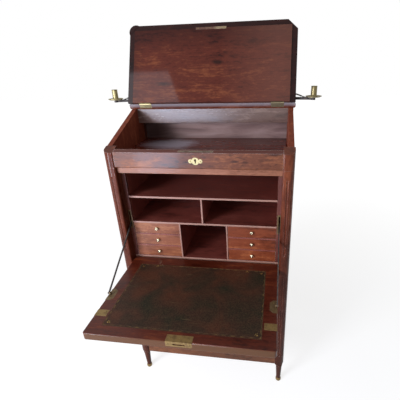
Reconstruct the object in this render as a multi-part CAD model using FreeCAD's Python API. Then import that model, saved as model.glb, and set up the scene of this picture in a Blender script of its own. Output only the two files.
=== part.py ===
import FreeCAD, Part
import math
import os

# A standing mahogany escritoire: a sloping lid over a shallow well, a fall front that opens into a
# leather-lined writing surface, a fitted interior with small drawers, and a cupboard below.
# Lengths are in millimetres. X runs to the right, Y to the back and Z up from the floor.

# Carcase widths and boards
carcase_width = 712.0
side_thickness = 20.0
back_thickness = 12.0
case_depth = 396.0
rail_set_back = 2.0

# Corner posts and legs
post_width = 42.0
post_proud = 4.0
post_round_radius = 26.0
post_inner_radius = 6.0
post_joint_height = 1.6
post_joint_depth = 1.2
rear_post_depth = 40.0
rear_block_width = 40.0
leg_length = 128.0
leg_ring_radius = 18.0
leg_ring_height = 8.0
leg_neck_radius = 13.5
leg_neck_height = 7.0
leg_collar_radius = 16.5
leg_collar_height = 6.0
leg_top_radius = 15.0
leg_foot_radius = 10.5
foot_cap_height = 18.0
foot_cap_radius = 13.0
foot_cap_top_radius = 11.5
foot_cap_base_radius = 11.0
foot_cap_belly_z = 12.0
foot_cap_heel_z = 4.0

# Flutes in the front posts
flute_radius = 4.5
flute_depth = 3.0
flute_arc_degrees = (86.0, 45.0, 4.0)
upper_flute_top_gap = 36.0
upper_flute_length = 326.0
lower_flute_top_gap = 8.0
lower_flute_bottom_gap = 52.0

# Heights from the legs up
plinth_height = 40.0
cupboard_height = 427.0
waist_height = 43.0
writing_floor_thickness = 14.0
waist_upstand_thickness = 12.0
floor_step = 4.0
cupboard_floor_thickness = 10.0

# Fall front and its pivots
fall_thickness = 28.0
fall_axis_inset = 6.0
fall_tail = 25.0
fall_set_back = 2.0
fall_side_gap = 4.0
fall_top_gap = 2.0
fall_corner_radius = 10.0
fall_edge_radius = 3.0
nose_inner_radius = 3.0
nose_outer_radius = 4.0
swing_clearance = 0.9
fall_pin_radius = 3.0
fall_pin_hold = 18.0
fall_pin_grip = 12.0
pin_clearance = 0.05
pin_end_gap = 1.0

# Leather, lock and brass plates of the fall
leather_side_margin = 48.0
leather_back_margin = 54.0
leather_front_margin = 40.0
leather_thickness = 1.2
fall_lock_width = 86.0
fall_lock_depth = 28.0
fall_lock_offset = 10.0
fall_lock_edge_height = 20.0
brass_sheet = 2.0
bolt_slot_width = 40.0
bolt_slot_height = 5.0
bolt_slot_offset = 12.0
bolt_slot_depth = 9.0
side_plate_width = 43.0
side_plate_length = 30.0
side_plate_front = 80.0

# Stays that hold the fall, and their brackets and slots
stay_inset = 5.0
stay_thickness = 4.0
stay_height = 7.0
stay_reach = 230.0
stay_angle = 31.0
stay_eye_radius = 4.5
stay_pin_radius = 2.5
stay_pin_head_radius = 3.8
stay_pin_head = 1.2
stay_pivot_height = 5.5
stay_side_gap = 0.6
stay_stop_radius = 4.0
stay_stop_length = 8.5
stay_stop_gap = 2.0
bracket_width = 27.0
bracket_length = 62.0
bracket_cut = 12.0
bracket_ear_thickness = 4.0
bracket_ear_length = 11.0
slot_plate_width = 16.0
slot_plate_height = 84.0
slot_plate_thickness = 1.5
slot_width = 6.5
slot_height = 70.0
slot_centre_rise = 206.0

# Fitted interior behind the fall
fitment_inset = 15.0
stile_thickness = 12.0
case_side_thickness = 5.0
shelf_thickness = 8.0
middle_height = 108.0
upper_height = 148.0
partition_thickness = 7.0
pigeonhole_half_width = 97.0
pigeonhole_side_thickness = 6.0
blade_thickness = 5.0
blade_set_back = 1.0

# Small drawers
drawers_per_stack = 3
drawer_opening = 50.8
drawer_gap = 0.7
drawer_set_back = 3.0
drawer_back_gap = 52.0
drawer_front_thickness = 12.0
drawer_wall = 6.0
drawer_wall_drop = 6.0
drawer_bottom = 4.0
drawer_bottom_rise = 3.0
knob_projection = 10.0
knob_base_radius = 5.0
knob_base_height = 1.2
knob_neck_radius = 3.0
knob_neck_height = 4.0
knob_head_radius = 7.5
knob_head_height = 7.2
knob_face_radius = 5.5
knob_dimple_radius = 2.2
knob_dimple_depth = 1.4
knob_shank_radius = 2.0
knob_shank_length = 9.0

# Frieze, head rail and well
frieze_height = 61.0
frieze_thickness = 20.0
frieze_drop = 14.0
frieze_edge_radius = 4.0
head_rail_drop = 25.0
head_rail_set_back = 12.0
well_floor_thickness = 10.0

# Sloping lid and the fixed ledge behind it
slope_angle = 19.5
ledge_depth = 86.0
ledge_thickness = 22.0
ledge_overhang = 10.0
ledge_back_overhang = 10.0
ledge_edge_radius = 7.0
fascia_height = 62.0
fascia_thickness = 16.0
fascia_set_back = 10.0
lid_lean = 25.0
lid_front_overhang = 11.1
lid_side_overhang = 8.0
lid_thickness = 20.0
lid_hinge_gap = 0.8
moulding_width = 24.0
moulding_thickness = 15.0
moulding_edge_radius = 6.0
lid_corner_cut = 40.0
corner_block_bulge = 3.5
corner_block_thickness = 16.0

# Lid hinges, lock strip and strike plate
lid_hinge_inset = 74.0
lid_hinge_width = 54.0
lid_leaf_height = 18.0
lid_leaf_top_gap = 1.0
lid_leaf_thickness = 1.8
knuckle_radius = 3.2
knuckle_clearance = 0.4
knuckle_share = 0.34
knuckle_pin_radius = 1.5
lock_strip_width = 132.0
lock_strip_depth = 10.0
lock_strip_inset = 5.0
lock_strip_slot_width = 16.0
lock_strip_slot_depth = 5.0
lock_strip_slot_share = 0.25
strike_front_inset = 30.0

# Keyhole plate on the frieze
escutcheon_thickness = 1.5
escutcheon_centre_radius = 14.0
escutcheon_lobe_radius = 8.0
escutcheon_lobe_offset = 18.5
keyhole_radius = 4.0
keyhole_rise = 4.0
keyhole_slot_width = 3.6
keyhole_slot_drop = 12.0
keyhole_depth = 12.0

# Candle arms on the ledge
arm_pivot_inset = 66.0
arm_pivot_back = 62.0
arm_length = 152.0
arm_rest_angle = 13.0
arm_base_radius = 11.0
arm_base_height = 4.0
arm_pin_radius = 4.0
arm_cap_radius = 6.0
arm_cap_height = 3.0
arm_sleeve_radius = 7.0
arm_sleeve_height = 32.0
arm_sleeve_gap = 0.4
arm_strip_thickness = 3.0
arm_strip_height = 11.0
arm_strip_rise = 2.0
arm_boss_radius = 8.0
brace_radius = 2.8
brace_start_height = 25.0
brace_crest_height = 28.0
brace_shoulder_height = 23.0
brace_low_height = 12.0
brace_end_height = 6.0
brace_crest_share = 0.3
brace_shoulder_share = 0.56
brace_low_share = 0.76
brace_end_share = 0.9
pan_radius = 33.0
pan_thickness = 1.8
pan_rim_height = 5.0
pan_well_radius = 27.0
socket_height = 42.0
socket_foot_radius = 16.0
socket_foot_height = 2.0
socket_neck_radius = 12.4
socket_neck_height = 7.0
socket_tube_radius = 12.0
socket_tube_height = 38.0
socket_lip_radius = 13.2
candle_bore_radius = 10.5
candle_bore_depth = 28.0

# Cupboard doors
door_thickness = 18.0
door_gap = 2.0
door_frame_width = 52.0
door_panel_recess = 4.0
door_pin_radius = 3.0
door_pin_hold = 14.0
door_pin_grip = 12.0
door_plate_half_width = 8.0
door_plate_half_height = 15.0
door_plate_inset = 26.0
door_plate_corner_radius = 6.0

# One overrun carries every cut clear of the face it starts from
overrun = 2.0

# Edges closer than this share count as parallel
parallel_share = 0.001

# Places worked out from the sizes
half_carcase = carcase_width / 2
half_outer = half_carcase + post_proud
inner_side = half_carcase - side_thickness
half_opening = half_outer - post_width
fall_half_width = half_opening - fall_side_gap
stay_plane_x = half_opening - stay_inset
fitment_half_width = half_opening - fitment_inset
lid_half_width = half_carcase + lid_side_overhang
lid_hinge_x = lid_half_width - lid_hinge_inset
arm_pivot_x = half_carcase - arm_pivot_inset
fall_axis_depth = fall_set_back + fall_axis_inset
fall_rise = fall_thickness - fall_axis_inset
nose_inner_centre = math.hypot(fall_tail - nose_inner_radius, fall_rise - nose_inner_radius)
nose_back_reach = nose_inner_centre + nose_inner_radius
nose_outer_centre = math.hypot(fall_tail - nose_outer_radius, fall_axis_inset - nose_outer_radius)
nose_down_reach = nose_outer_centre + nose_outer_radius
fitment_depth = fall_axis_depth + nose_back_reach + swing_clearance
drawer_length = case_depth - fitment_depth - drawer_set_back - drawer_back_gap
hinge_depth = case_depth - ledge_depth

plinth_z = leg_length
plinth_top_z = plinth_z + plinth_height
waist_z = plinth_top_z + cupboard_height
waist_top_z = waist_z + waist_height
fall_axis_z = waist_top_z + nose_down_reach + swing_clearance
fall_top_z = fall_axis_z + fall_rise
floor_top_z = fall_top_z + floor_step
floor_z = floor_top_z - writing_floor_thickness
drawer_step = drawer_opening + blade_thickness
drawer_shelf_z = floor_top_z + drawers_per_stack * drawer_step - blade_thickness
upper_shelf_z = drawer_shelf_z + shelf_thickness + middle_height
well_floor_z = upper_shelf_z + shelf_thickness + upper_height
well_floor_top_z = well_floor_z + well_floor_thickness
frieze_z = well_floor_z - frieze_drop
slope_front_z = frieze_z + frieze_height
slope = math.radians(slope_angle)
lean = math.radians(lid_lean)
lid_length = hinge_depth / math.cos(slope) + lid_front_overhang
ledge_z = slope_front_z + hinge_depth * math.tan(slope)
ledge_top_z = ledge_z + ledge_thickness

head_rail_z = frieze_z - head_rail_drop
fall_length = head_rail_z - fall_top_gap - fall_axis_z
fall_reach = fall_length - fall_axis_depth
leather_width = 2 * (fall_half_width - leather_side_margin)
leather_length = fall_length + fall_tail - leather_front_margin - leather_back_margin
lid_back_reach = hinge_depth + lid_length * math.sin(lean)
front_y = (fall_reach - lid_back_reach) / 2
fall_axis_y = front_y + fall_axis_depth
fall_front_y = fall_axis_y - fall_length
fall_back_y = fall_axis_y + fall_tail
hinge_y = front_y + hinge_depth
back_y = front_y + case_depth
rear_y = back_y + back_thickness
post_front_y = front_y - post_proud
rear_post_y = rear_y - rear_post_depth
fitment_y = front_y + fitment_depth
post_back_y = fitment_y
stile_back_y = fitment_y + stile_thickness
stay_pivot_y = fall_axis_y - stay_reach
stay_pivot_z = fall_top_z + stay_pivot_height
slot_centre_z = fall_axis_z + slot_centre_rise

ORIGIN = FreeCAD.Vector(0, 0, 0)
X_AXIS = FreeCAD.Vector(1, 0, 0)
Y_AXIS = FreeCAD.Vector(0, 1, 0)
Z_AXIS = FreeCAD.Vector(0, 0, 1)


# Drawing helpers
def box(x0, x1, y0, y1, z0, z1):
    return Part.makeBox(x1 - x0, y1 - y0, z1 - z0, FreeCAD.Vector(x0, y0, z0))


def rod(start, direction, radius, length):
    return Part.makeCylinder(radius, length, FreeCAD.Vector(*start), direction)


def prism(points, run):
    corners = [FreeCAD.Vector(*point) for point in points]
    return Part.Face(Part.makePolygon(corners + corners[:1])).extrude(run)


def turned(profile):
    corners = [FreeCAD.Vector(radius, 0, height) for radius, height in profile]
    face = Part.Face(Part.makePolygon(corners + corners[:1]))
    return face.revolve(ORIGIN, Z_AXIS, 360)


def turned_smooth(bottom, curve, top):
    points = [FreeCAD.Vector(radius, 0, height) for radius, height in curve]
    spline = Part.BSplineCurve()
    spline.interpolate(points)
    lower = [FreeCAD.Vector(radius, 0, height) for radius, height in bottom]
    upper = [FreeCAD.Vector(radius, 0, height) for radius, height in top]
    closing = Part.makePolygon([points[-1]] + upper + lower + [points[0]])
    wire = Part.Wire([spline.toShape()] + closing.Edges)
    return Part.Face(wire).revolve(ORIGIN, Z_AXIS, 360)


def moved(shape, x, y, z):
    copy = shape.copy()
    copy.translate(FreeCAD.Vector(x, y, z))
    return copy


def spun(shape, axis, degrees):
    copy = shape.copy()
    copy.rotate(ORIGIN, axis, degrees)
    return copy


def mirrored(shape):
    return shape.mirror(ORIGIN, X_AXIS)


def both_sides(shape):
    return [mirrored(shape), shape]


def rounded(shape, radius, chosen):
    edges = [edge for edge in shape.Edges if chosen(edge.CenterOfMass, edge)]
    return shape.makeFillet(radius, edges)


def runs_along(edge, axis):
    ends = edge.Vertexes
    if len(ends) < 2:
        return False
    run = ends[1].Point - ends[0].Point
    return run.cross(axis).Length < run.Length * parallel_share


def near(value, target):
    return abs(value - target) < overrun / 4


def save(name, solids):
    shape = solids[0] if len(solids) == 1 else Part.makeCompound(solids)
    shape.exportStep("parts/" + name + ".step")


# Frames of the sloping parts: the lid is drawn flat with its hinge line on the X axis
def lid_open(shape):
    return moved(spun(shape, X_AXIS, -(90 + lid_lean)), 0, hinge_y, ledge_top_z)


def lid_closed(shape):
    return moved(spun(shape, X_AXIS, slope_angle), 0, hinge_y, ledge_top_z)


def on_slope(shape):
    return moved(spun(shape, X_AXIS, slope_angle), 0, front_y, slope_front_z)


def flat_lid(x0, x1, near_s, far_s, outer, inner):
    return box(x0, x1, -far_s, -near_s, -inner, -outer)


def above_slope():
    side = half_outer + overrun
    rise = case_depth * math.tan(slope)
    low = (-side, front_y - case_depth, slope_front_z - rise)
    high = (-side, front_y + case_depth, slope_front_z + rise)
    peak = (-side, front_y - case_depth, slope_front_z + rise)
    return prism([low, high, peak], X_AXIS * (2 * side))


# Corner posts and legs
def leg():
    ring_z = leg_length - leg_ring_height
    neck_z = ring_z - leg_neck_height
    collar_z = neck_z - leg_collar_height
    profile = [(0, foot_cap_height), (leg_foot_radius, foot_cap_height), (leg_top_radius, collar_z),
               (leg_collar_radius, collar_z), (leg_collar_radius, neck_z), (leg_neck_radius, neck_z),
               (leg_neck_radius, ring_z), (leg_ring_radius, ring_z), (leg_ring_radius, leg_length),
               (0, leg_length)]
    return turned(profile)


def foot_cap():
    profile = [(0, 0), (foot_cap_base_radius, 0), (foot_cap_radius, foot_cap_heel_z),
               (foot_cap_radius, foot_cap_belly_z), (foot_cap_top_radius, foot_cap_height),
               (0, foot_cap_height)]
    return turned(profile)


def post_section(inset, z0, z1):
    outer_x = half_outer - inset
    outer_y = post_front_y + inset
    block = box(half_opening, outer_x, outer_y, post_back_y, z0, z1)

    def outer_corner(centre, edge):
        return near(centre.x, outer_x) and near(centre.y, outer_y)

    def inner_corner(centre, edge):
        return near(centre.x, half_opening) and near(centre.y, outer_y)
    block = rounded(block, post_round_radius - inset, outer_corner)
    return rounded(block, post_inner_radius - inset, inner_corner)


def flute(x, y, z0, z1):
    shaft = rod((x, y, z0 + flute_radius), Z_AXIS, flute_radius, z1 - z0 - 2 * flute_radius)
    foot = Part.makeSphere(flute_radius, FreeCAD.Vector(x, y, z0 + flute_radius))
    head = Part.makeSphere(flute_radius, FreeCAD.Vector(x, y, z1 - flute_radius))
    return shaft.fuse([foot, head])


def flute_places():
    stand_off = flute_radius - flute_depth
    arc_x = half_outer - post_round_radius
    arc_y = post_front_y + post_round_radius
    reach = post_round_radius + stand_off
    places = []
    for degrees in flute_arc_degrees:
        turn = math.radians(degrees)
        places.append((arc_x + reach * math.cos(turn), arc_y - reach * math.sin(turn)))
    return places


def front_post():
    post = post_section(0, plinth_z, ledge_z)
    joint = post_section(0, frieze_z - post_joint_height, frieze_z)
    joint = joint.cut(post_section(post_joint_depth, frieze_z - post_joint_height, frieze_z))
    post = post.cut(joint).cut(above_slope())
    upper_top = frieze_z - upper_flute_top_gap
    lower_top = fall_axis_z - lower_flute_top_gap
    for x, y in flute_places():
        post = post.cut(flute(x, y, upper_top - upper_flute_length, upper_top))
        post = post.cut(flute(x, y, plinth_z + lower_flute_bottom_gap, lower_top))
    socket = rod((half_opening - overrun, fall_axis_y, fall_axis_z), X_AXIS, fall_pin_radius,
                 fall_pin_hold + overrun)
    post = post.cut(socket)
    leg_x = (half_opening + half_outer) / 2
    leg_y = (post_front_y + post_back_y) / 2
    return post.fuse(moved(leg(), leg_x, leg_y, 0)).removeSplitter()


def rear_post():
    stile = box(inner_side, half_outer, rear_post_y, rear_y, plinth_z, ledge_z)
    block = box(half_outer - rear_block_width, half_outer, rear_post_y, back_y, plinth_z,
                plinth_top_z - cupboard_floor_thickness)
    foot = moved(leg(), half_outer - rear_block_width / 2, rear_y - rear_post_depth / 2, 0)
    return stile.fuse([block, foot]).removeSplitter()


def foot_caps():
    front = moved(foot_cap(), (half_opening + half_outer) / 2, (post_front_y + post_back_y) / 2, 0)
    rear = moved(foot_cap(), half_outer - rear_block_width / 2, rear_y - rear_post_depth / 2, 0)
    return both_sides(front) + both_sides(rear)


# Carcase boards
def side_panel():
    panel = box(inner_side, half_carcase, post_back_y, rear_post_y, plinth_z, ledge_z)
    return panel.cut(above_slope())


def back_panel():
    return box(-inner_side, inner_side, back_y, rear_y, plinth_top_z - cupboard_floor_thickness, ledge_z)


def door_pin(x, z, up):
    y = front_y + rail_set_back + door_thickness / 2
    if up:
        return rod((x, y, z - door_pin_grip), Z_AXIS, door_pin_radius, door_pin_grip + door_pin_hold)
    return rod((x, y, z - door_pin_hold), Z_AXIS, door_pin_radius, door_pin_grip + door_pin_hold)


def door_axis_x():
    return half_opening - door_gap - door_thickness / 2


def door_pins():
    upper = door_pin(door_axis_x(), waist_z, True)
    lower = door_pin(door_axis_x(), plinth_top_z, False)
    return both_sides(upper) + both_sides(lower)


def plinth_rail():
    rail = box(-half_opening, half_opening, front_y + rail_set_back, fitment_y, plinth_z, plinth_top_z)
    for pin in door_pins():
        rail = rail.cut(pin)
    return rail


def waist_rail():
    front = box(-half_opening, half_opening, front_y + rail_set_back, fitment_y, waist_z, waist_top_z)
    upstand = box(-inner_side, inner_side, fitment_y, fitment_y + waist_upstand_thickness, waist_z, floor_z)
    rail = front.fuse(upstand).removeSplitter()
    for pin in door_pins():
        rail = rail.cut(pin)
    return rail


def cupboard_floor():
    return box(-inner_side, inner_side, fitment_y, back_y, plinth_top_z - cupboard_floor_thickness,
               plinth_top_z)


def writing_floor():
    return box(-inner_side, inner_side, fitment_y, back_y, floor_z, floor_top_z)


def fall_pins():
    start = (fall_half_width - fall_pin_grip, fall_axis_y, fall_axis_z)
    pin = rod(start, X_AXIS, fall_pin_radius, fall_pin_grip + fall_side_gap + fall_pin_hold)
    return both_sides(pin)


# Frieze, rail and well
def keyhole(depth):
    start = front_y - escutcheon_thickness - overrun
    middle = frieze_z + frieze_height / 2 + keyhole_rise
    run = escutcheon_thickness + overrun + depth
    hole = rod((0, start, middle), Y_AXIS, keyhole_radius, run)
    slot = box(-keyhole_slot_width / 2, keyhole_slot_width / 2, start, start + run,
               middle - keyhole_slot_drop, middle)
    return hole.fuse(slot)


def lock_strip_blank():
    half = lock_strip_width / 2
    start = lock_strip_inset
    return on_slope(box(-half, half, start, start + lock_strip_depth, -brass_sheet, 0))


def lock_strip():
    middle = lock_strip_inset + lock_strip_depth / 2
    half_slot = lock_strip_slot_width / 2
    half_deep = lock_strip_slot_depth / 2
    slot = box(-half_slot, half_slot, middle - half_deep, middle + half_deep, -brass_sheet - overrun, overrun)
    strip = lock_strip_blank()
    place = lock_strip_width * lock_strip_slot_share
    for x in (-place, place):
        strip = strip.cut(on_slope(moved(slot, x, 0, 0)))
    return strip


def frieze():
    top = slope_front_z + frieze_thickness
    board = box(-half_opening, half_opening, front_y, front_y + frieze_thickness, frieze_z, top)

    def lower_front(centre, edge):
        return near(centre.y, front_y) and near(centre.z, frieze_z)
    board = rounded(board, frieze_edge_radius, lower_front)
    board = board.cut(above_slope()).cut(lock_strip_blank())
    return board.cut(keyhole(keyhole_depth))


def escutcheon():
    start = (0, front_y - escutcheon_thickness, frieze_z + frieze_height / 2)
    lobes = [(0, escutcheon_centre_radius)]
    for side in (-1, 1):
        lobes.append((side * escutcheon_lobe_offset, escutcheon_lobe_radius))
    discs = []
    for x, radius in lobes:
        discs.append(moved(rod(start, Y_AXIS, radius, escutcheon_thickness), x, 0, 0))
    plate = discs[0].fuse(discs[1:]).removeSplitter()
    return plate.cut(keyhole(keyhole_depth))


def head_rail():
    lower = box(-half_opening, half_opening, front_y + head_rail_set_back, fitment_y, head_rail_z, frieze_z)
    upper = box(-half_opening, half_opening, front_y + frieze_thickness, fitment_y, frieze_z, well_floor_z)
    return lower.fuse(upper).removeSplitter()


def well_floor():
    rear = box(-inner_side, inner_side, post_back_y, back_y, well_floor_z, well_floor_top_z)
    front = box(-half_opening, half_opening, front_y + frieze_thickness, post_back_y, well_floor_z,
                well_floor_top_z)
    return rear.fuse(front).removeSplitter()


def fascia():
    front = hinge_y + fascia_set_back
    return box(-inner_side, inner_side, front, front + fascia_thickness, ledge_z - fascia_height, ledge_z)


# Lid hinges
def knuckle(x, length, radius):
    return rod((x - length / 2, 0, 0), X_AXIS, radius, length)


def knuckle_room(x):
    return knuckle(x, lid_hinge_width + 2 * knuckle_clearance, knuckle_radius + knuckle_clearance)


def leaf_plate(x, front, back):
    half = lid_hinge_width / 2
    return box(x - half, x + half, front, back, -lid_leaf_top_gap - lid_leaf_height, -lid_leaf_top_gap)


def ledge_leaf_plate(x):
    return leaf_plate(x, lid_hinge_gap / 2, lid_hinge_gap / 2 + lid_leaf_thickness)


def lid_leaf_plate(x):
    return leaf_plate(x, -lid_hinge_gap / 2 - lid_leaf_thickness, -lid_hinge_gap / 2)


def middle_knuckle_length():
    return lid_hinge_width * knuckle_share


def ledge_leaf(x):
    middle = middle_knuckle_length() + 2 * knuckle_clearance
    end = (lid_hinge_width - middle) / 2
    shift = (lid_hinge_width - end) / 2
    plate = ledge_leaf_plate(x).cut(knuckle(x, middle, knuckle_radius + knuckle_clearance))
    pin = knuckle(x, lid_hinge_width, knuckle_pin_radius)
    ends = [knuckle(x - shift, end, knuckle_radius), knuckle(x + shift, end, knuckle_radius)]
    return plate.fuse(ends + [pin]).removeSplitter()


def lid_leaf(x):
    plate = lid_leaf_plate(x)
    middle = middle_knuckle_length()
    room = knuckle(x, lid_hinge_width + overrun, knuckle_radius + knuckle_clearance)
    room = room.cut(knuckle(x, middle, knuckle_radius + overrun))
    leaf = plate.cut(room).fuse(knuckle(x, middle, knuckle_radius)).removeSplitter()
    return leaf.cut(knuckle(x, lid_hinge_width, knuckle_pin_radius + pin_clearance))


def ledge():
    bevel_top = hinge_y + lid_hinge_gap / 2 / math.cos(slope)
    bevel_low = bevel_top + ledge_thickness * math.tan(slope)
    back = rear_y + ledge_back_overhang
    half = half_carcase + ledge_overhang
    profile = [(-half, bevel_top, ledge_top_z), (-half, back, ledge_top_z), (-half, back, ledge_z),
               (-half, bevel_low, ledge_z)]
    board = prism(profile, X_AXIS * (2 * half))

    def end_edge(centre, edge):
        return near(abs(centre.x), half) and runs_along(edge, Y_AXIS)
    board = rounded(board, ledge_edge_radius, end_edge)
    for x in (-lid_hinge_x, lid_hinge_x):
        board = board.cut(lid_closed(ledge_leaf_plate(x))).cut(lid_closed(knuckle_room(x)))
    return board


# Lid
def lid_corner(side):
    total = lid_half_width + lid_length - lid_corner_cut
    far = lid_length + corner_block_bulge + overrun
    wide = lid_half_width + corner_block_bulge + overrun
    low = -lid_thickness - overrun
    points = [(side * (total - far), -far, low), (side * wide, -far, low), (side * wide, wide - total, low)]
    return prism(points, Z_AXIS * (lid_thickness + 2 * overrun))


def cut_corners(shape):
    return shape.cut(lid_corner(-1)).cut(lid_corner(1))


def strike_blank():
    half = lock_strip_width / 2
    start = lid_length - strike_front_inset
    return flat_lid(-half, half, start, start + lock_strip_depth, lid_thickness - brass_sheet, lid_thickness)


def lid_panel():
    half = lid_half_width - moulding_width
    panel = flat_lid(-half, half, lid_hinge_gap / 2, lid_length - moulding_width, 0, lid_thickness)
    panel = cut_corners(panel).cut(strike_blank())
    for x in (-lid_hinge_x, lid_hinge_x):
        panel = panel.cut(lid_leaf_plate(x)).cut(knuckle_room(x))
    return panel


def moulding_strip(x0, x1, near_s, far_s, outer):
    strip = flat_lid(x0, x1, near_s, far_s, 0, moulding_thickness)

    def outer_edge(centre, edge):
        return near(centre.z, 0) and outer(centre)
    return cut_corners(rounded(strip, moulding_edge_radius, outer_edge))


def corner_block():
    # A disc through both ends of the cut corner, standing a little proud of the moulding
    reach = lid_corner_cut + corner_block_bulge
    inset = reach - (2 * corner_block_bulge * reach) ** 0.5
    start = (-lid_half_width + inset, -lid_length + inset, -corner_block_thickness)
    disc = rod(start, Z_AXIS, inset + corner_block_bulge, corner_block_thickness)
    return disc.common(lid_corner(-1))


def lid_moulding():
    inner = lid_half_width - moulding_width

    def front(centre):
        return near(centre.y, -lid_length)

    def end(centre):
        return near(abs(centre.x), lid_half_width)
    strips = [moulding_strip(-lid_half_width, lid_half_width, lid_length - moulding_width, lid_length, front)]
    far = lid_length - moulding_width
    strips.append(moulding_strip(inner, lid_half_width, lid_hinge_gap / 2, far, end))
    strips.append(moulding_strip(-lid_half_width, -inner, lid_hinge_gap / 2, far, end))
    return strips + [corner_block()]


# Fall front, drawn open and level
def leather_sheet():
    half = leather_width / 2
    front = fall_front_y + leather_front_margin
    return box(-half, half, front, front + leather_length, fall_top_z - leather_thickness, fall_top_z)


def fall_lock_blank():
    left = fall_lock_offset - fall_lock_width / 2
    right = left + fall_lock_width
    top = box(left, right, fall_front_y, fall_front_y + fall_lock_depth, fall_top_z - brass_sheet, fall_top_z)
    edge = box(left, right, fall_front_y, fall_front_y + brass_sheet, fall_top_z - fall_lock_edge_height,
               fall_top_z)
    return top.fuse(edge).removeSplitter()


def bolt_slot():
    left = fall_lock_offset - bolt_slot_width / 2
    top = fall_top_z - bolt_slot_offset + bolt_slot_height / 2
    return box(left, left + bolt_slot_width, fall_front_y - overrun, fall_front_y + bolt_slot_depth,
               top - bolt_slot_height, top)


def side_plate():
    front = fall_front_y + side_plate_front
    return box(fall_half_width - side_plate_width, fall_half_width, front, front + side_plate_length,
               fall_top_z - brass_sheet, fall_top_z)


def bracket_plate():
    inner = fall_half_width - bracket_width
    front = stay_pivot_y - bracket_length / 2
    back = stay_pivot_y + bracket_length / 2
    low = fall_top_z - brass_sheet
    outline = [(fall_half_width, front, low), (fall_half_width, back, low), (inner + bracket_cut, back, low),
               (inner, back - bracket_cut, low), (inner, front + bracket_cut, low),
               (inner + bracket_cut, front, low)]
    return prism(outline, Z_AXIS * brass_sheet)


def bracket():
    ear_outer = stay_plane_x - stay_thickness / 2 - stay_side_gap
    ear_inner = ear_outer - bracket_ear_thickness
    half = bracket_ear_length / 2
    ear = box(ear_inner, ear_outer, stay_pivot_y - half, stay_pivot_y + half, fall_top_z - brass_sheet,
              stay_pivot_z)
    crown = rod((ear_inner, stay_pivot_y, stay_pivot_z), X_AXIS, stay_eye_radius, bracket_ear_thickness)
    bar_outer = stay_plane_x + stay_thickness / 2 + stay_side_gap
    pin = rod((ear_inner, stay_pivot_y, stay_pivot_z), X_AXIS, stay_pin_radius, bar_outer - ear_inner)
    head = rod((bar_outer, stay_pivot_y, stay_pivot_z), X_AXIS, stay_pin_head_radius, stay_pin_head)
    return bracket_plate().fuse([ear, crown, pin, head]).removeSplitter()


def fall_panel():
    board = box(-fall_half_width, fall_half_width, fall_front_y, fall_back_y,
                fall_top_z - fall_thickness, fall_top_z)

    def front_corner(centre, edge):
        return near(centre.y, fall_front_y) and runs_along(edge, Z_AXIS)
    board = rounded(board, fall_corner_radius, front_corner)

    def nose_low(centre, edge):
        return near(centre.y, fall_back_y) and near(centre.z, fall_top_z - fall_thickness)
    board = rounded(board, nose_outer_radius, nose_low)

    def nose_high(centre, edge):
        return near(centre.y, fall_back_y) and near(centre.z, fall_top_z)
    board = rounded(board, nose_inner_radius, nose_high)

    def front_low(centre, edge):
        return near(centre.y, fall_front_y) and near(centre.z, fall_top_z - fall_thickness)
    board = rounded(board, fall_edge_radius, front_low)
    board = board.cut(leather_sheet()).cut(fall_lock_blank()).cut(bolt_slot())
    for plate in both_sides(side_plate()) + both_sides(bracket_plate()):
        board = board.cut(plate)
    bore = rod((fall_half_width - fall_pin_grip - pin_end_gap, fall_axis_y, fall_axis_z), X_AXIS,
               fall_pin_radius + pin_clearance, fall_pin_grip + pin_end_gap + overrun)
    for hole in both_sides(bore):
        board = board.cut(hole)
    return board


def stay():
    slot_run = fitment_y - stay_pivot_y + stile_thickness
    behind = slot_run / math.cos(math.radians(stay_angle))
    stop_at = behind + stay_stop_gap + stay_stop_radius + stay_height / 2
    low = stay_plane_x - stay_thickness / 2
    bar = box(low, low + stay_thickness, 0, stop_at, -stay_height / 2, stay_height / 2)
    eye = rod((low, 0, 0), X_AXIS, stay_eye_radius, stay_thickness)
    stop = rod((stay_plane_x - stay_stop_length / 2, stop_at, 0), X_AXIS, stay_stop_radius, stay_stop_length)
    bore = rod((low - overrun, 0, 0), X_AXIS, stay_pin_radius + pin_clearance, stay_thickness + 2 * overrun)
    shape = bar.fuse([eye, stop]).removeSplitter().cut(bore)
    return moved(spun(shape, X_AXIS, stay_angle), 0, stay_pivot_y, stay_pivot_z)


# Fitted interior
def slot_plate_blank():
    half = slot_plate_height / 2
    left = stay_plane_x - slot_plate_width / 2
    return box(left, left + slot_plate_width, fitment_y, fitment_y + slot_plate_thickness,
               slot_centre_z - half, slot_centre_z + half)


def stay_slot():
    half = slot_width / 2
    tall = slot_height / 2
    return box(stay_plane_x - half, stay_plane_x + half, fitment_y - overrun, stile_back_y + overrun,
               slot_centre_z - tall, slot_centre_z + tall)


def stile():
    board = box(fitment_half_width, inner_side, fitment_y, stile_back_y, floor_top_z, well_floor_z)
    return board.cut(slot_plate_blank()).cut(stay_slot())


def case_side():
    return box(fitment_half_width, fitment_half_width + case_side_thickness, stile_back_y, back_y,
               floor_top_z, well_floor_z)


def shelf(z):
    return box(-fitment_half_width, fitment_half_width, fitment_y, back_y, z, z + shelf_thickness)


def partitions():
    half = partition_thickness / 2
    divider = box(-half, half, fitment_y, back_y, drawer_shelf_z + shelf_thickness, upper_shelf_z)
    outer = pigeonhole_half_width + pigeonhole_side_thickness
    wall = box(pigeonhole_half_width, outer, fitment_y, back_y, floor_top_z, drawer_shelf_z)
    return [divider] + both_sides(wall)


def drawer_z(row):
    return floor_top_z + row * drawer_step


def blades():
    inner = pigeonhole_half_width + pigeonhole_side_thickness
    boards = []
    for row in range(1, drawers_per_stack):
        top = drawer_z(row)
        boards += both_sides(box(inner, fitment_half_width, fitment_y + blade_set_back, back_y,
                                 top - blade_thickness, top))
    return boards


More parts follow.
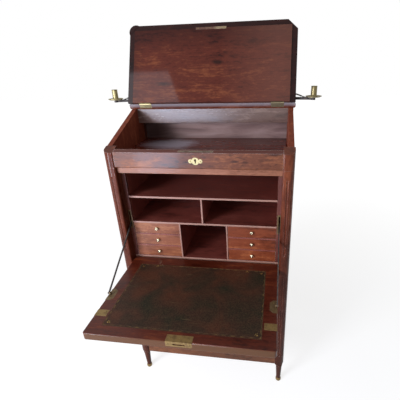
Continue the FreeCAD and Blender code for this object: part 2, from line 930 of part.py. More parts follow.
def drawer(row):
    left = pigeonhole_half_width + pigeonhole_side_thickness + drawer_gap
    right = fitment_half_width - drawer_gap
    low = drawer_z(row) + drawer_gap
    high = drawer_z(row) + drawer_opening - drawer_gap
    front = fitment_y + drawer_set_back
    inside = front + drawer_front_thickness
    rear = front + drawer_length
    wall_top = high - drawer_wall_drop
    face = box(left, right, front, inside, low, high)
    face = face.cut(moved(knob_shank(), (left + right) / 2, front, (low + high) / 2))
    near_wall = box(left, left + drawer_wall, inside, rear, low, wall_top)
    far_wall = box(right - drawer_wall, right, inside, rear, low, wall_top)
    tail = box(left + drawer_wall, right - drawer_wall, rear - drawer_wall, rear, low, wall_top)
    base_z = low + drawer_bottom_rise
    base = box(left + drawer_wall, right - drawer_wall, inside, rear - drawer_wall, base_z,
               base_z + drawer_bottom)
    return [face, near_wall, far_wall, tail, base]


def knob_shank():
    return rod((0, 0, 0), Y_AXIS, knob_shank_radius, knob_shank_length)


def knob():
    curve = [(knob_neck_radius, knob_neck_height), (knob_head_radius, knob_head_height),
             (knob_face_radius, knob_projection)]
    foot = [(0, 0), (knob_base_radius, 0), (knob_base_radius, knob_base_height),
            (knob_neck_radius, knob_base_height)]
    crown = [(knob_dimple_radius, knob_projection), (0, knob_projection - knob_dimple_depth)]
    head = spun(turned_smooth(foot, curve, crown), X_AXIS, 90)
    return head.fuse(knob_shank()).removeSplitter()


def placed_knob(row):
    middle = (pigeonhole_half_width + pigeonhole_side_thickness + fitment_half_width) / 2
    return moved(knob(), middle, fitment_y + drawer_set_back, drawer_z(row) + drawer_opening / 2)


# Candle arms, drawn pointing along X from the pivot
def place_arm(shape):
    turned_arm = spun(shape, Z_AXIS, -arm_rest_angle)
    return moved(turned_arm, arm_pivot_x, hinge_y + arm_pivot_back, ledge_top_z)


def arm_post():
    pin_top = arm_base_height + arm_sleeve_height + 2 * arm_sleeve_gap
    base = rod((0, 0, 0), Z_AXIS, arm_base_radius, arm_base_height)
    pin = rod((0, 0, 0), Z_AXIS, arm_pin_radius, pin_top)
    cap = rod((0, 0, pin_top), Z_AXIS, arm_cap_radius, arm_cap_height)
    return place_arm(base.fuse([pin, cap]).removeSplitter())


def brace():
    sleeve_z = arm_base_height + arm_sleeve_gap
    points = [(arm_pin_radius + brace_radius, brace_start_height)]
    points.append((arm_length * brace_crest_share, brace_crest_height))
    points.append((arm_length * brace_shoulder_share, brace_shoulder_height))
    points.append((arm_length * brace_low_share, brace_low_height))
    points.append((arm_length * brace_end_share, brace_end_height))
    spline = Part.BSplineCurve()
    spline.interpolate([FreeCAD.Vector(x, 0, sleeve_z + z) for x, z in points])
    path = Part.Wire([spline.toShape()])
    start = spline.value(spline.FirstParameter)
    heading = spline.tangent(spline.FirstParameter)[0]
    ring = Part.Wire([Part.makeCircle(brace_radius, start, heading)])
    return path.makePipeShell([ring], True, True)


def candle_arm():
    low = arm_base_height + arm_sleeve_gap
    sleeve = rod((0, 0, low), Z_AXIS, arm_sleeve_radius, arm_sleeve_height)
    half = arm_strip_thickness / 2
    strip = box(0, arm_length, -half, half, low + arm_strip_rise, low + arm_strip_rise + arm_strip_height)
    boss = rod((arm_length, 0, low + arm_strip_rise), Z_AXIS, arm_boss_radius, arm_strip_height)
    bore = rod((0, 0, 0), Z_AXIS, arm_pin_radius + pin_clearance, low + arm_sleeve_height + overrun)
    arm = sleeve.fuse([strip, boss, brace()]).removeSplitter()
    return place_arm(arm.cut(bore))


def candle_socket():
    floor = arm_base_height + arm_sleeve_gap + arm_strip_rise + arm_strip_height
    pan_top = floor + pan_thickness
    rim = floor + pan_rim_height
    foot_z = pan_top + socket_foot_height
    neck_z = pan_top + socket_neck_height
    tube_top = pan_top + socket_tube_height
    lip = pan_top + socket_height
    profile = [(0, floor), (pan_well_radius, floor), (pan_radius, rim - pan_thickness), (pan_radius, rim),
               (pan_well_radius, pan_top), (socket_foot_radius, pan_top), (socket_foot_radius, foot_z),
               (socket_neck_radius, neck_z), (socket_tube_radius, tube_top), (socket_lip_radius, lip),
               (candle_bore_radius, lip), (candle_bore_radius, lip - candle_bore_depth),
               (0, lip - candle_bore_depth)]
    return place_arm(moved(turned(profile), arm_length, 0, 0))


# Cupboard doors
def door_plate_place():
    return door_gap / 2 + door_plate_inset


def door_plate():
    middle = (plinth_top_z + waist_z) / 2
    face = front_y + rail_set_back
    x = door_plate_place()
    plate = box(x - door_plate_half_width, x + door_plate_half_width, face - escutcheon_thickness, face,
                middle - door_plate_half_height, middle + door_plate_half_height)

    def corner(centre, edge):
        return runs_along(edge, Y_AXIS)
    plate = rounded(plate, door_plate_corner_radius, corner)
    hole = rod((x, face - escutcheon_thickness - overrun, middle), Y_AXIS, keyhole_radius,
               escutcheon_thickness + 2 * overrun)
    return plate.cut(hole)


def door(with_key):
    low = plinth_top_z + door_gap
    high = waist_z - door_gap
    face = front_y + rail_set_back
    axis_y = face + door_thickness / 2
    inner = door_gap / 2
    leaf = box(inner, door_axis_x(), face, face + door_thickness, low, high)
    nose = rod((door_axis_x(), axis_y, low), Z_AXIS, door_thickness / 2, high - low)
    leaf = leaf.fuse(nose).removeSplitter()
    outer = door_axis_x() + door_thickness / 2
    leaf = leaf.cut(box(inner + door_frame_width, outer - door_frame_width, face - overrun,
                        face + door_panel_recess, low + door_frame_width, high - door_frame_width))
    for start in (low - overrun, high - door_pin_grip):
        leaf = leaf.cut(rod((door_axis_x(), axis_y, start), Z_AXIS, door_pin_radius + pin_clearance,
                            door_pin_grip + overrun))
    if with_key:
        hole = rod((door_plate_place(), face - overrun, (plinth_top_z + waist_z) / 2), Y_AXIS, keyhole_radius,
                   keyhole_depth)
        leaf = leaf.cut(hole)
    return leaf


# Every piece under its own name
def build():
    os.makedirs("parts", exist_ok=True)
    right_post = front_post()
    save("right_front_post", [right_post])
    save("left_front_post", [mirrored(right_post)])
    right_rear = rear_post()
    save("right_rear_post", [right_rear])
    save("left_rear_post", [mirrored(right_rear)])
    save("right_side_panel", [side_panel()])
    save("left_side_panel", [mirrored(side_panel())])
    save("back_panel", [back_panel()])
    save("plinth_rail", [plinth_rail()])
    save("waist_rail", [waist_rail()])
    save("cupboard_floor", [cupboard_floor()])
    save("writing_floor", [writing_floor()])
    save("frieze", [frieze()])
    save("fall_head_rail", [head_rail()])
    save("well_floor", [well_floor()])
    save("hinge_fascia", [fascia()])
    save("top_ledge", [ledge()])
    save("fitment_stiles", both_sides(stile()))
    save("fitment_sides", both_sides(case_side()))
    save("upper_shelf", [shelf(upper_shelf_z)])
    save("drawer_shelf", [shelf(drawer_shelf_z)])
    save("fitment_partitions", partitions())
    save("drawer_blades", blades())
    save("stay_slot_plates", both_sides(slot_plate_blank().cut(stay_slot())))
    save("frieze_escutcheon", [escutcheon()])
    save("lid_lock_strip", [lock_strip()])
    save("foot_caps", foot_caps())
    save("fall_pivot_pins", fall_pins())
    save("door_pivot_pins", door_pins())
    save("ledge_hinge_leaves", [lid_closed(ledge_leaf(x)) for x in (-lid_hinge_x, lid_hinge_x)])
    save("candle_arm_posts", both_sides(arm_post()))
    save("lid_panel", [lid_open(lid_panel())])
    save("lid_moulding", [lid_open(strip) for strip in lid_moulding()])
    save("lid_strike_plate", [lid_open(strike_blank())])
    save("lid_hinge_leaves", [lid_open(lid_leaf(x)) for x in (-lid_hinge_x, lid_hinge_x)])
    save("fall_panel", [fall_panel()])
    save("fall_leather", [leather_sheet()])
    save("fall_lock", [fall_lock_blank().cut(bolt_slot())])
    save("fall_side_plates", both_sides(side_plate()))
    save("stay_brackets", both_sides(bracket()))
    save("right_stay", [stay()])
    save("left_stay", [mirrored(stay())])
    save("right_candle_arm", [candle_arm()])
    save("left_candle_arm", [mirrored(candle_arm())])
    save("right_candle_socket", [candle_socket()])
    save("left_candle_socket", [mirrored(candle_socket())])
    for row, level in enumerate(("low", "middle", "top")):
        solids = drawer(row)
        save("right_" + level + "_drawer", solids)
        save("left_" + level + "_drawer", [mirrored(solid) for solid in solids])
        save("right_" + level + "_knob", [placed_knob(row)])
        save("left_" + level + "_knob", [mirrored(placed_knob(row))])
    save("right_door", [door(True)])
    save("left_door", [mirrored(door(False))])
    save("door_key_plate", [door_plate()])


build()
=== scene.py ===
import bmesh
import bpy
import math
from mathutils import Matrix, Vector


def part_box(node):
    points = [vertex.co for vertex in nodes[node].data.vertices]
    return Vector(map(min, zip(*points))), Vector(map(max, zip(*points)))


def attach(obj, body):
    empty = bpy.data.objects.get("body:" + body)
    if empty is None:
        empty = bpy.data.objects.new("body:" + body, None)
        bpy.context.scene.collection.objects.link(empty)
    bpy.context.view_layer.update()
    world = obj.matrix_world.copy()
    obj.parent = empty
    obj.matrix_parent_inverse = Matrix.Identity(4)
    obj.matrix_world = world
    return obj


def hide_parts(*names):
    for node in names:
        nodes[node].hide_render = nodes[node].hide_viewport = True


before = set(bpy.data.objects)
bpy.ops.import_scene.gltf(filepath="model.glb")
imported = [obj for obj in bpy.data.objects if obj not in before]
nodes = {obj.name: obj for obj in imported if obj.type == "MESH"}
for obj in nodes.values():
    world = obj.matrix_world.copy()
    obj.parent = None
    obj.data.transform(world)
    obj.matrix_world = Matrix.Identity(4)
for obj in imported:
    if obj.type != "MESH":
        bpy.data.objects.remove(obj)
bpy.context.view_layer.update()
bpy.context.view_layer.update()

MILLIMETRE = 0.001
ALONG_X, ALONG_Z = 0, 2
RIGHTWARD, LEFTWARD = Vector((1, 0, 0)), Vector((-1, 0, 0))
BACKWARD, FORWARD = Vector((0, 1, 0)), Vector((0, -1, 0))
UPWARD, DOWNWARD = Vector((0, 0, 1)), Vector((0, 0, -1))

# Places on the cabinet that the finishes follow
SLOPE = math.radians(19.5)
LID_LEAN = math.radians(25.0)
FRONT_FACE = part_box("frieze")[0].y
BACK_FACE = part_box("back_panel")[1].y - MILLIMETRE
FITMENT_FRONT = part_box("upper_shelf")[0].y + 0.5 * MILLIMETRE
DRAWER_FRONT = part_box("right_low_drawer")[0].y + 12 * MILLIMETRE
WELL_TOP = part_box("well_floor")[1].z
DESK_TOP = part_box("writing_floor")[1].z
LEATHER_LOW, LEATHER_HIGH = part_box("fall_leather")
# The width over which one finish turns into the next at a plane
CRISP = 0.4 * MILLIMETRE


# Materials

def linear(code):
    """A colour written as sRGB hex, turned to the linear values that the shaders take."""
    shades = []
    for start in (1, 3, 5):
        share = int(code[start:start + 2], 16) / 255
        shades.append(share / 12.92 if share <= 0.04045 else ((share + 0.055) / 1.055) ** 2.4)
    return (*shades, 1.0)


def add(tree, kind, settings=None, links=None):
    """Adds one shader node with its settings, and its links, which name a node or an output."""
    node = tree.nodes.new(kind)
    values = {}
    for key, value in (settings or {}).items():
        if key == "stops":
            ramp = node.color_ramp.elements
            while len(ramp) < len(value):
                ramp.new(0.5)
            for element, (position, code) in zip(ramp, value):
                element.position = position
                element.color = linear(code)
        elif isinstance(key, str) and hasattr(node, key):
            setattr(node, key, value)
        else:
            values[key] = value
    sockets = dict(enumerate(node.inputs))
    sockets.update({entry.name: entry for entry in reversed(node.inputs) if entry.enabled})
    for key, value in values.items():
        sockets[key].default_value = value
    for key, source in (links or {}).items():
        if isinstance(source, bpy.types.Node):
            source = next(out for out in source.outputs if out.enabled)
        tree.links.new(source, sockets[key])
    return node


def start_material(name):
    """An empty material, and the place of each point on the piece."""
    material = bpy.data.materials.new(name)
    material.use_nodes = True
    tree = material.node_tree
    tree.nodes.clear()
    return material, tree, add(tree, "ShaderNodeTexCoord").outputs["Object"]


def repeats(size):
    """How often a pattern of this size in millimetres fits into a metre."""
    return 1000 / size


def streaks(tree, place, size, look, shift=(0, 0, 0), turn=0):
    """Clouds drawn out to a size of their own along each axis, in millimetres."""
    spot = add(tree, "ShaderNodeMapping",
               {"Scale": [repeats(part) for part in size], "Location": shift,
                "Rotation": (0, 0, math.radians(turn))}, {"Vector": place})
    return add(tree, "ShaderNodeTexNoise", {"Scale": 1.0, **look}, {"Vector": spot})


def along_grain(axis, length, width):
    """The size along each axis of a streak that runs with the grain."""
    size = [width] * 3
    size[axis] = length
    return size


def shaded(tree, place, colour, shades):
    """Tints a finish beyond a plane. Each shade gives the way it lies, where it sets in, how far
    it takes to fade in, its colour and its share."""
    for direction, distance, fade, code, share in shades:
        along = add(tree, "ShaderNodeVectorMath", {"operation": "DOT_PRODUCT", 1: direction},
                    {0: place})
        mask = add(tree, "ShaderNodeMapRange",
                   {"From Min": distance - fade / 2, "From Max": distance + fade / 2,
                    "To Max": share}, {"Value": along})
        colour = add(tree, "ShaderNodeMix", {"data_type": "RGBA", "B": linear(code)},
                     {"Factor": mask, "A": colour})
    return colour


def wear_and_highlight_edge(tree, radius, share=1.0):
    """How far each point lies in a band along the edges, as wide as this radius in millimetres."""
    rounded = add(tree, "ShaderNodeBevel", {"samples": 6, "Radius": radius * MILLIMETRE})
    flat = add(tree, "ShaderNodeNewGeometry").outputs["Normal"]
    facing = add(tree, "ShaderNodeVectorMath", {"operation": "DOT_PRODUCT"}, {0: rounded, 1: flat})
    return add(tree, "ShaderNodeMapRange", {"From Min": 0.97, "From Max": 0.8, "To Max": share},
               {"Value": facing})


# Layers of the grain: length and width in millimetres, detail, bend, and weight in the tone
GRAIN = (
    (360, 140, 2.0, 0.6, 0.28),
    (150, 34, 3.0, 1.0, 0.28),
    (44, 18, 4.0, 0.6, 0.20),
    (16, 7, 2.0, 0.4, 0.14),
    (120, 4, 2.0, 0.2, 0.14),
)
# Dark flecks and pores: length and width in millimetres, and where they start in their clouds.
# Real pores are about 0.2 mm wide and are drawn wider so that they show
FLECKS = ((26, 9, 0.58), (18, 1.2, 0.56))
FLECK_FADE = 0.14
PORE_DEPTH = 0.4
# Millimetres over which a pale edge, part wear and part painted highlight, comes and goes
EDGE_BREAK = 34


def mahogany(name, colours, axis, polish, worn_and_highlit_edges=None, shift=(0, 0, 0), shades=(), marks=(),
             flecked=0.25):
    """Cuban mahogany, sawn, planed and French polished: clouds and bands of red and orange, long
    fine streaks, dark flecks and short open pores, edges rubbed pale with a painted highlight along
    them, and a soft uneven shine."""
    dark, middle, light = colours
    material, tree, place = start_material(name)
    tone = None
    for length, width, detail, bend, weight in GRAIN:
        pattern = streaks(tree, place, along_grain(axis, length, width),
                          {"Detail": detail, "Roughness": 0.6, "Distortion": bend}, shift)
        layer = add(tree, "ShaderNodeMapRange",
                    {"From Min": 0.3, "From Max": 0.7, "To Max": weight}, {"Value": pattern})
        if tone:
            layer = add(tree, "ShaderNodeMath", {"operation": "ADD"}, {0: tone, 1: layer})
        tone = layer
    stops = [(0.24, dark), (0.46, middle), (0.55, middle), (0.78, light)]
    colour = add(tree, "ShaderNodeValToRGB", {"stops": stops}, {"Fac": tone})
    for (length, width, start), share in zip(FLECKS, (flecked, PORE_DEPTH)):
        pits = streaks(tree, place, along_grain(axis, length, width), {"Detail": 2.0}, shift)
        mask = add(tree, "ShaderNodeMapRange",
                   {"From Min": start, "From Max": start + FLECK_FADE, "To Max": share},
                   {"Value": pits})
        colour = add(tree, "ShaderNodeMix", {"data_type": "RGBA", "B": linear(dark)},
                     {"Factor": mask, "A": colour})
    for centre, reach, code in marks:
        offset = [-part / span for part, span in zip(centre, reach)]
        spot = add(tree, "ShaderNodeMapping",
                   {"Scale": [1 / span for span in reach], "Location": offset}, {"Vector": place})
        away = add(tree, "ShaderNodeVectorMath", {"operation": "LENGTH"}, {0: spot})
        ragged = add(tree, "ShaderNodeMath", {"operation": "ADD"}, {0: away, 1: tone})
        mask = add(tree, "ShaderNodeMapRange", {"From Min": 1.5, "From Max": 0.9, "To Max": 0.85},
                   {"Value": ragged})
        colour = add(tree, "ShaderNodeMix", {"data_type": "RGBA", "B": linear(code)},
                     {"Factor": mask, "A": colour})
    colour = shaded(tree, place, colour, shades)
    # Pale edges: partly rubbed wear and partly a painted highlight along the edges
    if worn_and_highlit_edges:
        code, radius = worn_and_highlit_edges
        edge = wear_and_highlight_edge(tree, radius)
        patch = add(tree, "ShaderNodeTexNoise", {"Scale": repeats(EDGE_BREAK), "Detail": 3.0},
                    {"Vector": place})
        pale_edge_breakup = add(tree, "ShaderNodeMapRange",
                   {"From Min": 0.35, "From Max": 0.55, "To Min": 0.25, "To Max": 0.95},
                   {"Value": patch})
        mask = add(tree, "ShaderNodeMath", {"operation": "MULTIPLY"}, {0: edge, 1: pale_edge_breakup})
        colour = add(tree, "ShaderNodeMix", {"data_type": "RGBA", "B": linear(code)},
                     {"Factor": mask, "A": colour})
    gloss = add(tree, "ShaderNodeMapRange",
                {"From Min": 0.25, "From Max": 0.75, "To Min": polish["smooth"],
                 "To Max": polish["rough"]}, {"Value": tone})
    relief = add(tree, "ShaderNodeBump",
                 {"Strength": 0.18, "Distance": 0.3 * MILLIMETRE, "invert": True},
                 {"Height": pits})
    shader = add(tree, "ShaderNodeBsdfPrincipled",
                 {"Specular IOR Level": polish["specular"], "Coat Weight": polish["coat"],
                  "Coat Roughness": polish["coat_rough"]},
                 {"Base Color": colour, "Roughness": gloss, "Normal": relief})
    add(tree, "ShaderNodeOutputMaterial", {}, {"Surface": shader})
    return material


PINE_STOPS = (0.3, 0.5, 0.7)
PINE_BOARD = 140 * MILLIMETRE
# Where the painted shadow that the left side casts into the left corner of the well sets in, and
# where it is darkest
PAINTED_SHADOW_START, PAINTED_SHADOW_END = -0.17, -0.28


def pine_back(name, well, stained, outside):
    """Pine boards, planed and glued edge to edge: grey with old wax in the well, stained red behind
    the shelves, and bare in the cupboard and outside, a brown yellow with long grain up each board,
    dark joints and no shine."""
    material, tree, place = start_material(name)
    streak = streaks(tree, place, (220, 30, 30), {"Detail": 4.0, "Distortion": 0.8})
    waxed_and_shadowed = add(tree, "ShaderNodeValToRGB", {"stops": list(zip(PINE_STOPS, well))},
                {"Fac": streak})
    red = add(tree, "ShaderNodeValToRGB", {"stops": list(zip(PINE_STOPS, stained))},
              {"Fac": streak})
    parts = add(tree, "ShaderNodeSeparateXYZ", {}, {"Vector": place}).outputs
    # The left corner of the well is darkened by a painted shadow of the left side
    painted_shadow = add(tree, "ShaderNodeMapRange",
               {"From Min": PAINTED_SHADOW_START, "From Max": PAINTED_SHADOW_END, "To Max": 0.75},
               {"Value": parts["X"]})
    waxed_and_shadowed = add(tree, "ShaderNodeMix", {"data_type": "RGBA", "B": linear("#2a1a1a")},
                {"Factor": painted_shadow, "A": waxed_and_shadowed})
    ring = streaks(tree, place, (9, 9, 380), {"Detail": 3.0, "Distortion": 0.9})
    bare = add(tree, "ShaderNodeValToRGB", {"stops": list(zip(PINE_STOPS, outside))},
               {"Fac": ring})
    gap = add(tree, "ShaderNodeMath", {"operation": "PINGPONG", 1: PINE_BOARD / 2},
              {0: parts["X"]})
    joint = add(tree, "ShaderNodeMapRange",
                {"From Min": 1.2 * MILLIMETRE, "From Max": 0.5 * MILLIMETRE, "To Max": 0.8},
                {"Value": gap})
    bare = add(tree, "ShaderNodeMix", {"data_type": "RGBA", "B": linear("#2a1c12")},
               {"Factor": joint, "A": bare})
    raised = add(tree, "ShaderNodeMapRange",
                 {"From Min": WELL_TOP - CRISP, "From Max": WELL_TOP}, {"Value": parts["Z"]})
    colour = add(tree, "ShaderNodeMix", {"data_type": "RGBA"},
                 {"Factor": raised, "A": red, "B": waxed_and_shadowed})
    below = add(tree, "ShaderNodeMapRange",
                {"From Min": DESK_TOP, "From Max": DESK_TOP - CRISP}, {"Value": parts["Z"]})
    outer = add(tree, "ShaderNodeMapRange",
                {"From Min": BACK_FACE - CRISP, "From Max": BACK_FACE}, {"Value": parts["Y"]})
    outer = add(tree, "ShaderNodeMath", {"operation": "MAXIMUM"}, {0: outer, 1: below})
    colour = add(tree, "ShaderNodeMix", {"data_type": "RGBA"},
                 {"Factor": outer, "A": colour, "B": bare})
    gloss = add(tree, "ShaderNodeMapRange", {"To Min": 0.24, "To Max": 0.8}, {"Value": outer})
    shine = add(tree, "ShaderNodeMapRange", {"To Min": 0.5, "To Max": 0.1}, {"Value": outer})
    relief = add(tree, "ShaderNodeBump", {"Strength": 0.12, "Distance": 0.3 * MILLIMETRE},
                 {"Height": ring})
    shader = add(tree, "ShaderNodeBsdfPrincipled", {},
                 {"Base Color": colour, "Roughness": gloss, "Specular IOR Level": shine,
                  "Normal": relief})
    add(tree, "ShaderNodeOutputMaterial", {}, {"Surface": shader})
    return material


def brass(name, clean, stained, start, metal, smooth, rough, shades=()):
    """Cast brass, filed and long handled: a yellow metal with brown patches of tarnish, fine
    scratches and dull corners."""
    material, tree, place = start_material(name)
    patch = add(tree, "ShaderNodeTexNoise",
                {"Scale": repeats(15), "Detail": 4.0, "Roughness": 0.6}, {"Vector": place})
    scratch = streaks(tree, place, (24, 1.4, 1.4), {"Detail": 2.0})
    worn = add(tree, "ShaderNodeMath", {"operation": "MULTIPLY_ADD", 1: 0.3},
               {0: scratch, 2: patch})
    mask = add(tree, "ShaderNodeMapRange", {"From Min": start, "From Max": start + 0.22},
               {"Value": worn})
    colour = add(tree, "ShaderNodeMix",
                 {"data_type": "RGBA", "A": linear(clean), "B": linear(stained)},
                 {"Factor": mask})
    colour = shaded(tree, place, colour, shades)
    corner = add(tree, "ShaderNodeAmbientOcclusion", {"samples": 6, "Distance": 5 * MILLIMETRE})
    dirt = add(tree, "ShaderNodeMapRange", {"From Min": 0.75, "From Max": 0.3, "To Max": 0.7},
               {"Value": corner.outputs["AO"]})
    colour = add(tree, "ShaderNodeMix", {"data_type": "RGBA", "B": linear(stained)},
                 {"Factor": dirt, "A": colour})
    gloss = add(tree, "ShaderNodeMapRange", {"To Min": smooth, "To Max": rough}, {"Value": mask})
    relief = add(tree, "ShaderNodeBump", {"Strength": 0.15, "Distance": 0.2 * MILLIMETRE},
                 {"Height": worn})
    shader = add(tree, "ShaderNodeBsdfPrincipled", {"Metallic": metal},
                 {"Base Color": colour, "Roughness": gloss, "Normal": relief})
    add(tree, "ShaderNodeOutputMaterial", {}, {"Surface": shader})
    return material


def blacked_iron(name):
    """Forged iron, blacked and handled: dark grey with a little rust, and bright steel where it
    rubs."""
    material, tree, place = start_material(name)
    patch = add(tree, "ShaderNodeTexNoise",
                {"Scale": repeats(18), "Detail": 4.0, "Roughness": 0.6}, {"Vector": place})
    stops = [(0.3, "#262322"), (0.55, "#413d3b"), (0.7, "#57453a")]
    colour = add(tree, "ShaderNodeValToRGB", {"stops": stops}, {"Fac": patch})
    edge = wear_and_highlight_edge(tree, 0.8, 0.7)
    colour = add(tree, "ShaderNodeMix", {"data_type": "RGBA", "B": linear("#8f8a85")},
                 {"Factor": edge, "A": colour})
    gloss = add(tree, "ShaderNodeMapRange",
                {"From Min": 0.3, "From Max": 0.7, "To Min": 0.4, "To Max": 0.65},
                {"Value": patch})
    relief = add(tree, "ShaderNodeBump", {"Strength": 0.2, "Distance": 0.3 * MILLIMETRE},
                 {"Height": patch})
    shader = add(tree, "ShaderNodeBsdfPrincipled", {"Metallic": 0.8},
                 {"Base Color": colour, "Roughness": gloss, "Normal": relief})
    add(tree, "ShaderNodeOutputMaterial", {}, {"Surface": shader})
    return material


# Gold of the border: where the line and the dashes start and end, from the edge of the skin, how
# soft their sides are and how far apart the dashes lie, in millimetres
GOLD_LINE = (2.0, 2.8)
GOLD_DASHES = (3.4, 5.8)
GOLD_BLUR = 0.3
DASH_SPACING = 28.9
# A wave texture runs through this many radians per metre at a scale of one
WAVE_RADIANS = 20
# Hairline scuffs: the way each set runs, in degrees, and its shift
SCUFFS = ((25, 3.0), (100, 8.0), (-20, 14.0))


def tooled_leather(name):
    """Calf skin, dyed, glued down and waxed: cloudy dark brown with a green cast, a fine pebble,
    pale hairline scuffs, and a worn gold line with a row of dashes just inside the edge."""
    material, tree, place = start_material(name)
    cloud = add(tree, "ShaderNodeTexNoise",
                {"Scale": repeats(120), "Detail": 3.0, "Distortion": 0.4}, {"Vector": place})
    stops = [(0.36, "#242116"), (0.5, "#3a261c"), (0.64, "#522e20")]
    colour = add(tree, "ShaderNodeValToRGB", {"stops": stops}, {"Fac": cloud})
    mottle = add(tree, "ShaderNodeTexNoise",
                 {"Scale": repeats(4), "Detail": 4.0, "Roughness": 0.7}, {"Vector": place})
    pale = add(tree, "ShaderNodeMapRange", {"From Min": 0.46, "From Max": 0.74, "To Max": 0.5},
               {"Value": mottle})
    colour = add(tree, "ShaderNodeMix", {"data_type": "RGBA", "B": linear("#5b4a34")},
                 {"Factor": pale, "A": colour})
    deep = add(tree, "ShaderNodeMapRange", {"From Min": 0.5, "From Max": 0.32, "To Max": 0.6},
               {"Value": mottle})
    colour = add(tree, "ShaderNodeMix", {"data_type": "RGBA", "B": linear("#1d1712")},
                 {"Factor": deep, "A": colour})
    for turn, shift in SCUFFS:
        hair = streaks(tree, place, (70, 3, 3), {"Detail": 2.0, "Distortion": 0.3},
                       (shift, 0, 0), turn)
        line = add(tree, "ShaderNodeMapRange",
                   {"From Min": 0.71, "From Max": 0.77, "To Max": 0.4}, {"Value": hair})
        colour = add(tree, "ShaderNodeMix", {"data_type": "RGBA", "B": linear("#7b6a4a")},
                     {"Factor": line, "A": colour})
    # How far a point lies inside the nearest edge of the skin
    middle = (LEATHER_LOW + LEATHER_HIGH) / 2
    half = (LEATHER_HIGH - LEATHER_LOW) / 2
    shifted = add(tree, "ShaderNodeVectorMath", {"operation": "SUBTRACT", 1: middle}, {0: place})
    size = add(tree, "ShaderNodeVectorMath", {"operation": "ABSOLUTE"}, {0: shifted})
    inside = add(tree, "ShaderNodeVectorMath", {"operation": "SUBTRACT", 0: half}, {1: size})
    parts = add(tree, "ShaderNodeSeparateXYZ", {}, {"Vector": inside}).outputs
    depth = add(tree, "ShaderNodeMath", {"operation": "MINIMUM"}, {0: parts["X"], 1: parts["Y"]})
    # The wave runs cornerwise, so that it cuts dashes along all four sides alike
    turned = add(tree, "ShaderNodeMapping", {"Rotation": (0, 0, math.radians(45))},
                 {"Vector": place})
    waves = math.tau * repeats(DASH_SPACING) * math.sqrt(2)
    row = add(tree, "ShaderNodeTexWave", {"Scale": waves / WAVE_RADIANS}, {"Vector": turned})
    dashes = add(tree, "ShaderNodeMapRange", {"From Min": 0.5, "From Max": 0.65},
                 {"Value": row.outputs["Fac"]})
    gold = None
    for (near, far), cut in ((GOLD_LINE, None), (GOLD_DASHES, dashes)):
        rise = add(tree, "ShaderNodeMapRange",
                   {"From Min": (near - GOLD_BLUR) * MILLIMETRE, "From Max": near * MILLIMETRE},
                   {"Value": depth})
        fall = add(tree, "ShaderNodeMapRange",
                   {"From Min": (far + GOLD_BLUR) * MILLIMETRE, "From Max": far * MILLIMETRE},
                   {"Value": depth})
        band = add(tree, "ShaderNodeMath", {"operation": "MULTIPLY"}, {0: rise, 1: fall})
        if cut:
            band = add(tree, "ShaderNodeMath", {"operation": "MULTIPLY"}, {0: band, 1: cut})
        if gold:
            band = add(tree, "ShaderNodeMath", {"operation": "ADD"}, {0: gold, 1: band})
        gold = band
    rub = add(tree, "ShaderNodeTexNoise",
              {"Scale": repeats(26), "Detail": 4.0, "Roughness": 0.6}, {"Vector": place})
    left = add(tree, "ShaderNodeMapRange",
               {"From Min": 0.4, "From Max": 0.62, "To Min": 0.12, "To Max": 0.6}, {"Value": rub})
    gold = add(tree, "ShaderNodeMath", {"operation": "MULTIPLY"}, {0: gold, 1: left})
    colour = add(tree, "ShaderNodeMix", {"data_type": "RGBA", "B": linear("#86693f")},
                 {"Factor": gold, "A": colour})
    gloss = add(tree, "ShaderNodeMapRange",
                {"From Min": 0.3, "From Max": 0.7, "To Min": 0.66, "To Max": 0.5},
                {"Value": cloud})
    # The pebble on calf is about 1 mm and is drawn at 2 mm so that it shows
    pebble = add(tree, "ShaderNodeTexVoronoi", {"Scale": repeats(2.0)}, {"Vector": place})
    grain = add(tree, "ShaderNodeMath", {"operation": "MULTIPLY_ADD", 1: 0.6},
                {0: mottle, 2: pebble.outputs["Distance"]})
    relief = add(tree, "ShaderNodeBump", {"Strength": 0.3, "Distance": 0.4 * MILLIMETRE},
                 {"Height": grain})
    shader = add(tree, "ShaderNodeBsdfPrincipled", {"Specular IOR Level": 0.15},
                 {"Base Color": colour, "Roughness": gloss, "Normal": relief})
    add(tree, "ShaderNodeOutputMaterial", {}, {"Surface": shader})
    return material


def gold_leaf(name):
    """Gold leaf pressed into leather with a hot tool: a dull yellow with brown gaps where it has
    rubbed off."""
    material, tree, place = start_material(name)
    rub = add(tree, "ShaderNodeTexNoise", {"Scale": repeats(3), "Detail": 3.0}, {"Vector": place})
    gone = add(tree, "ShaderNodeMapRange", {"From Min": 0.5, "From Max": 0.62, "To Max": 0.85},
               {"Value": rub})
    colour = add(tree, "ShaderNodeMix",
                 {"data_type": "RGBA", "A": linear("#b99650"), "B": linear("#4a3826")},
                 {"Factor": gone})
    shine = add(tree, "ShaderNodeMapRange", {"To Min": 0.7, "To Max": 0.0}, {"Value": gone})
    gloss = add(tree, "ShaderNodeMapRange", {"To Min": 0.38, "To Max": 0.6}, {"Value": gone})
    relief = add(tree, "ShaderNodeBump", {"Strength": 0.2, "Distance": 0.1 * MILLIMETRE},
                 {"Height": rub})
    shader = add(tree, "ShaderNodeBsdfPrincipled", {},
                 {"Base Color": colour, "Metallic": shine, "Roughness": gloss, "Normal": relief})
    add(tree, "ShaderNodeOutputMaterial", {}, {"Surface": shader})
    return material


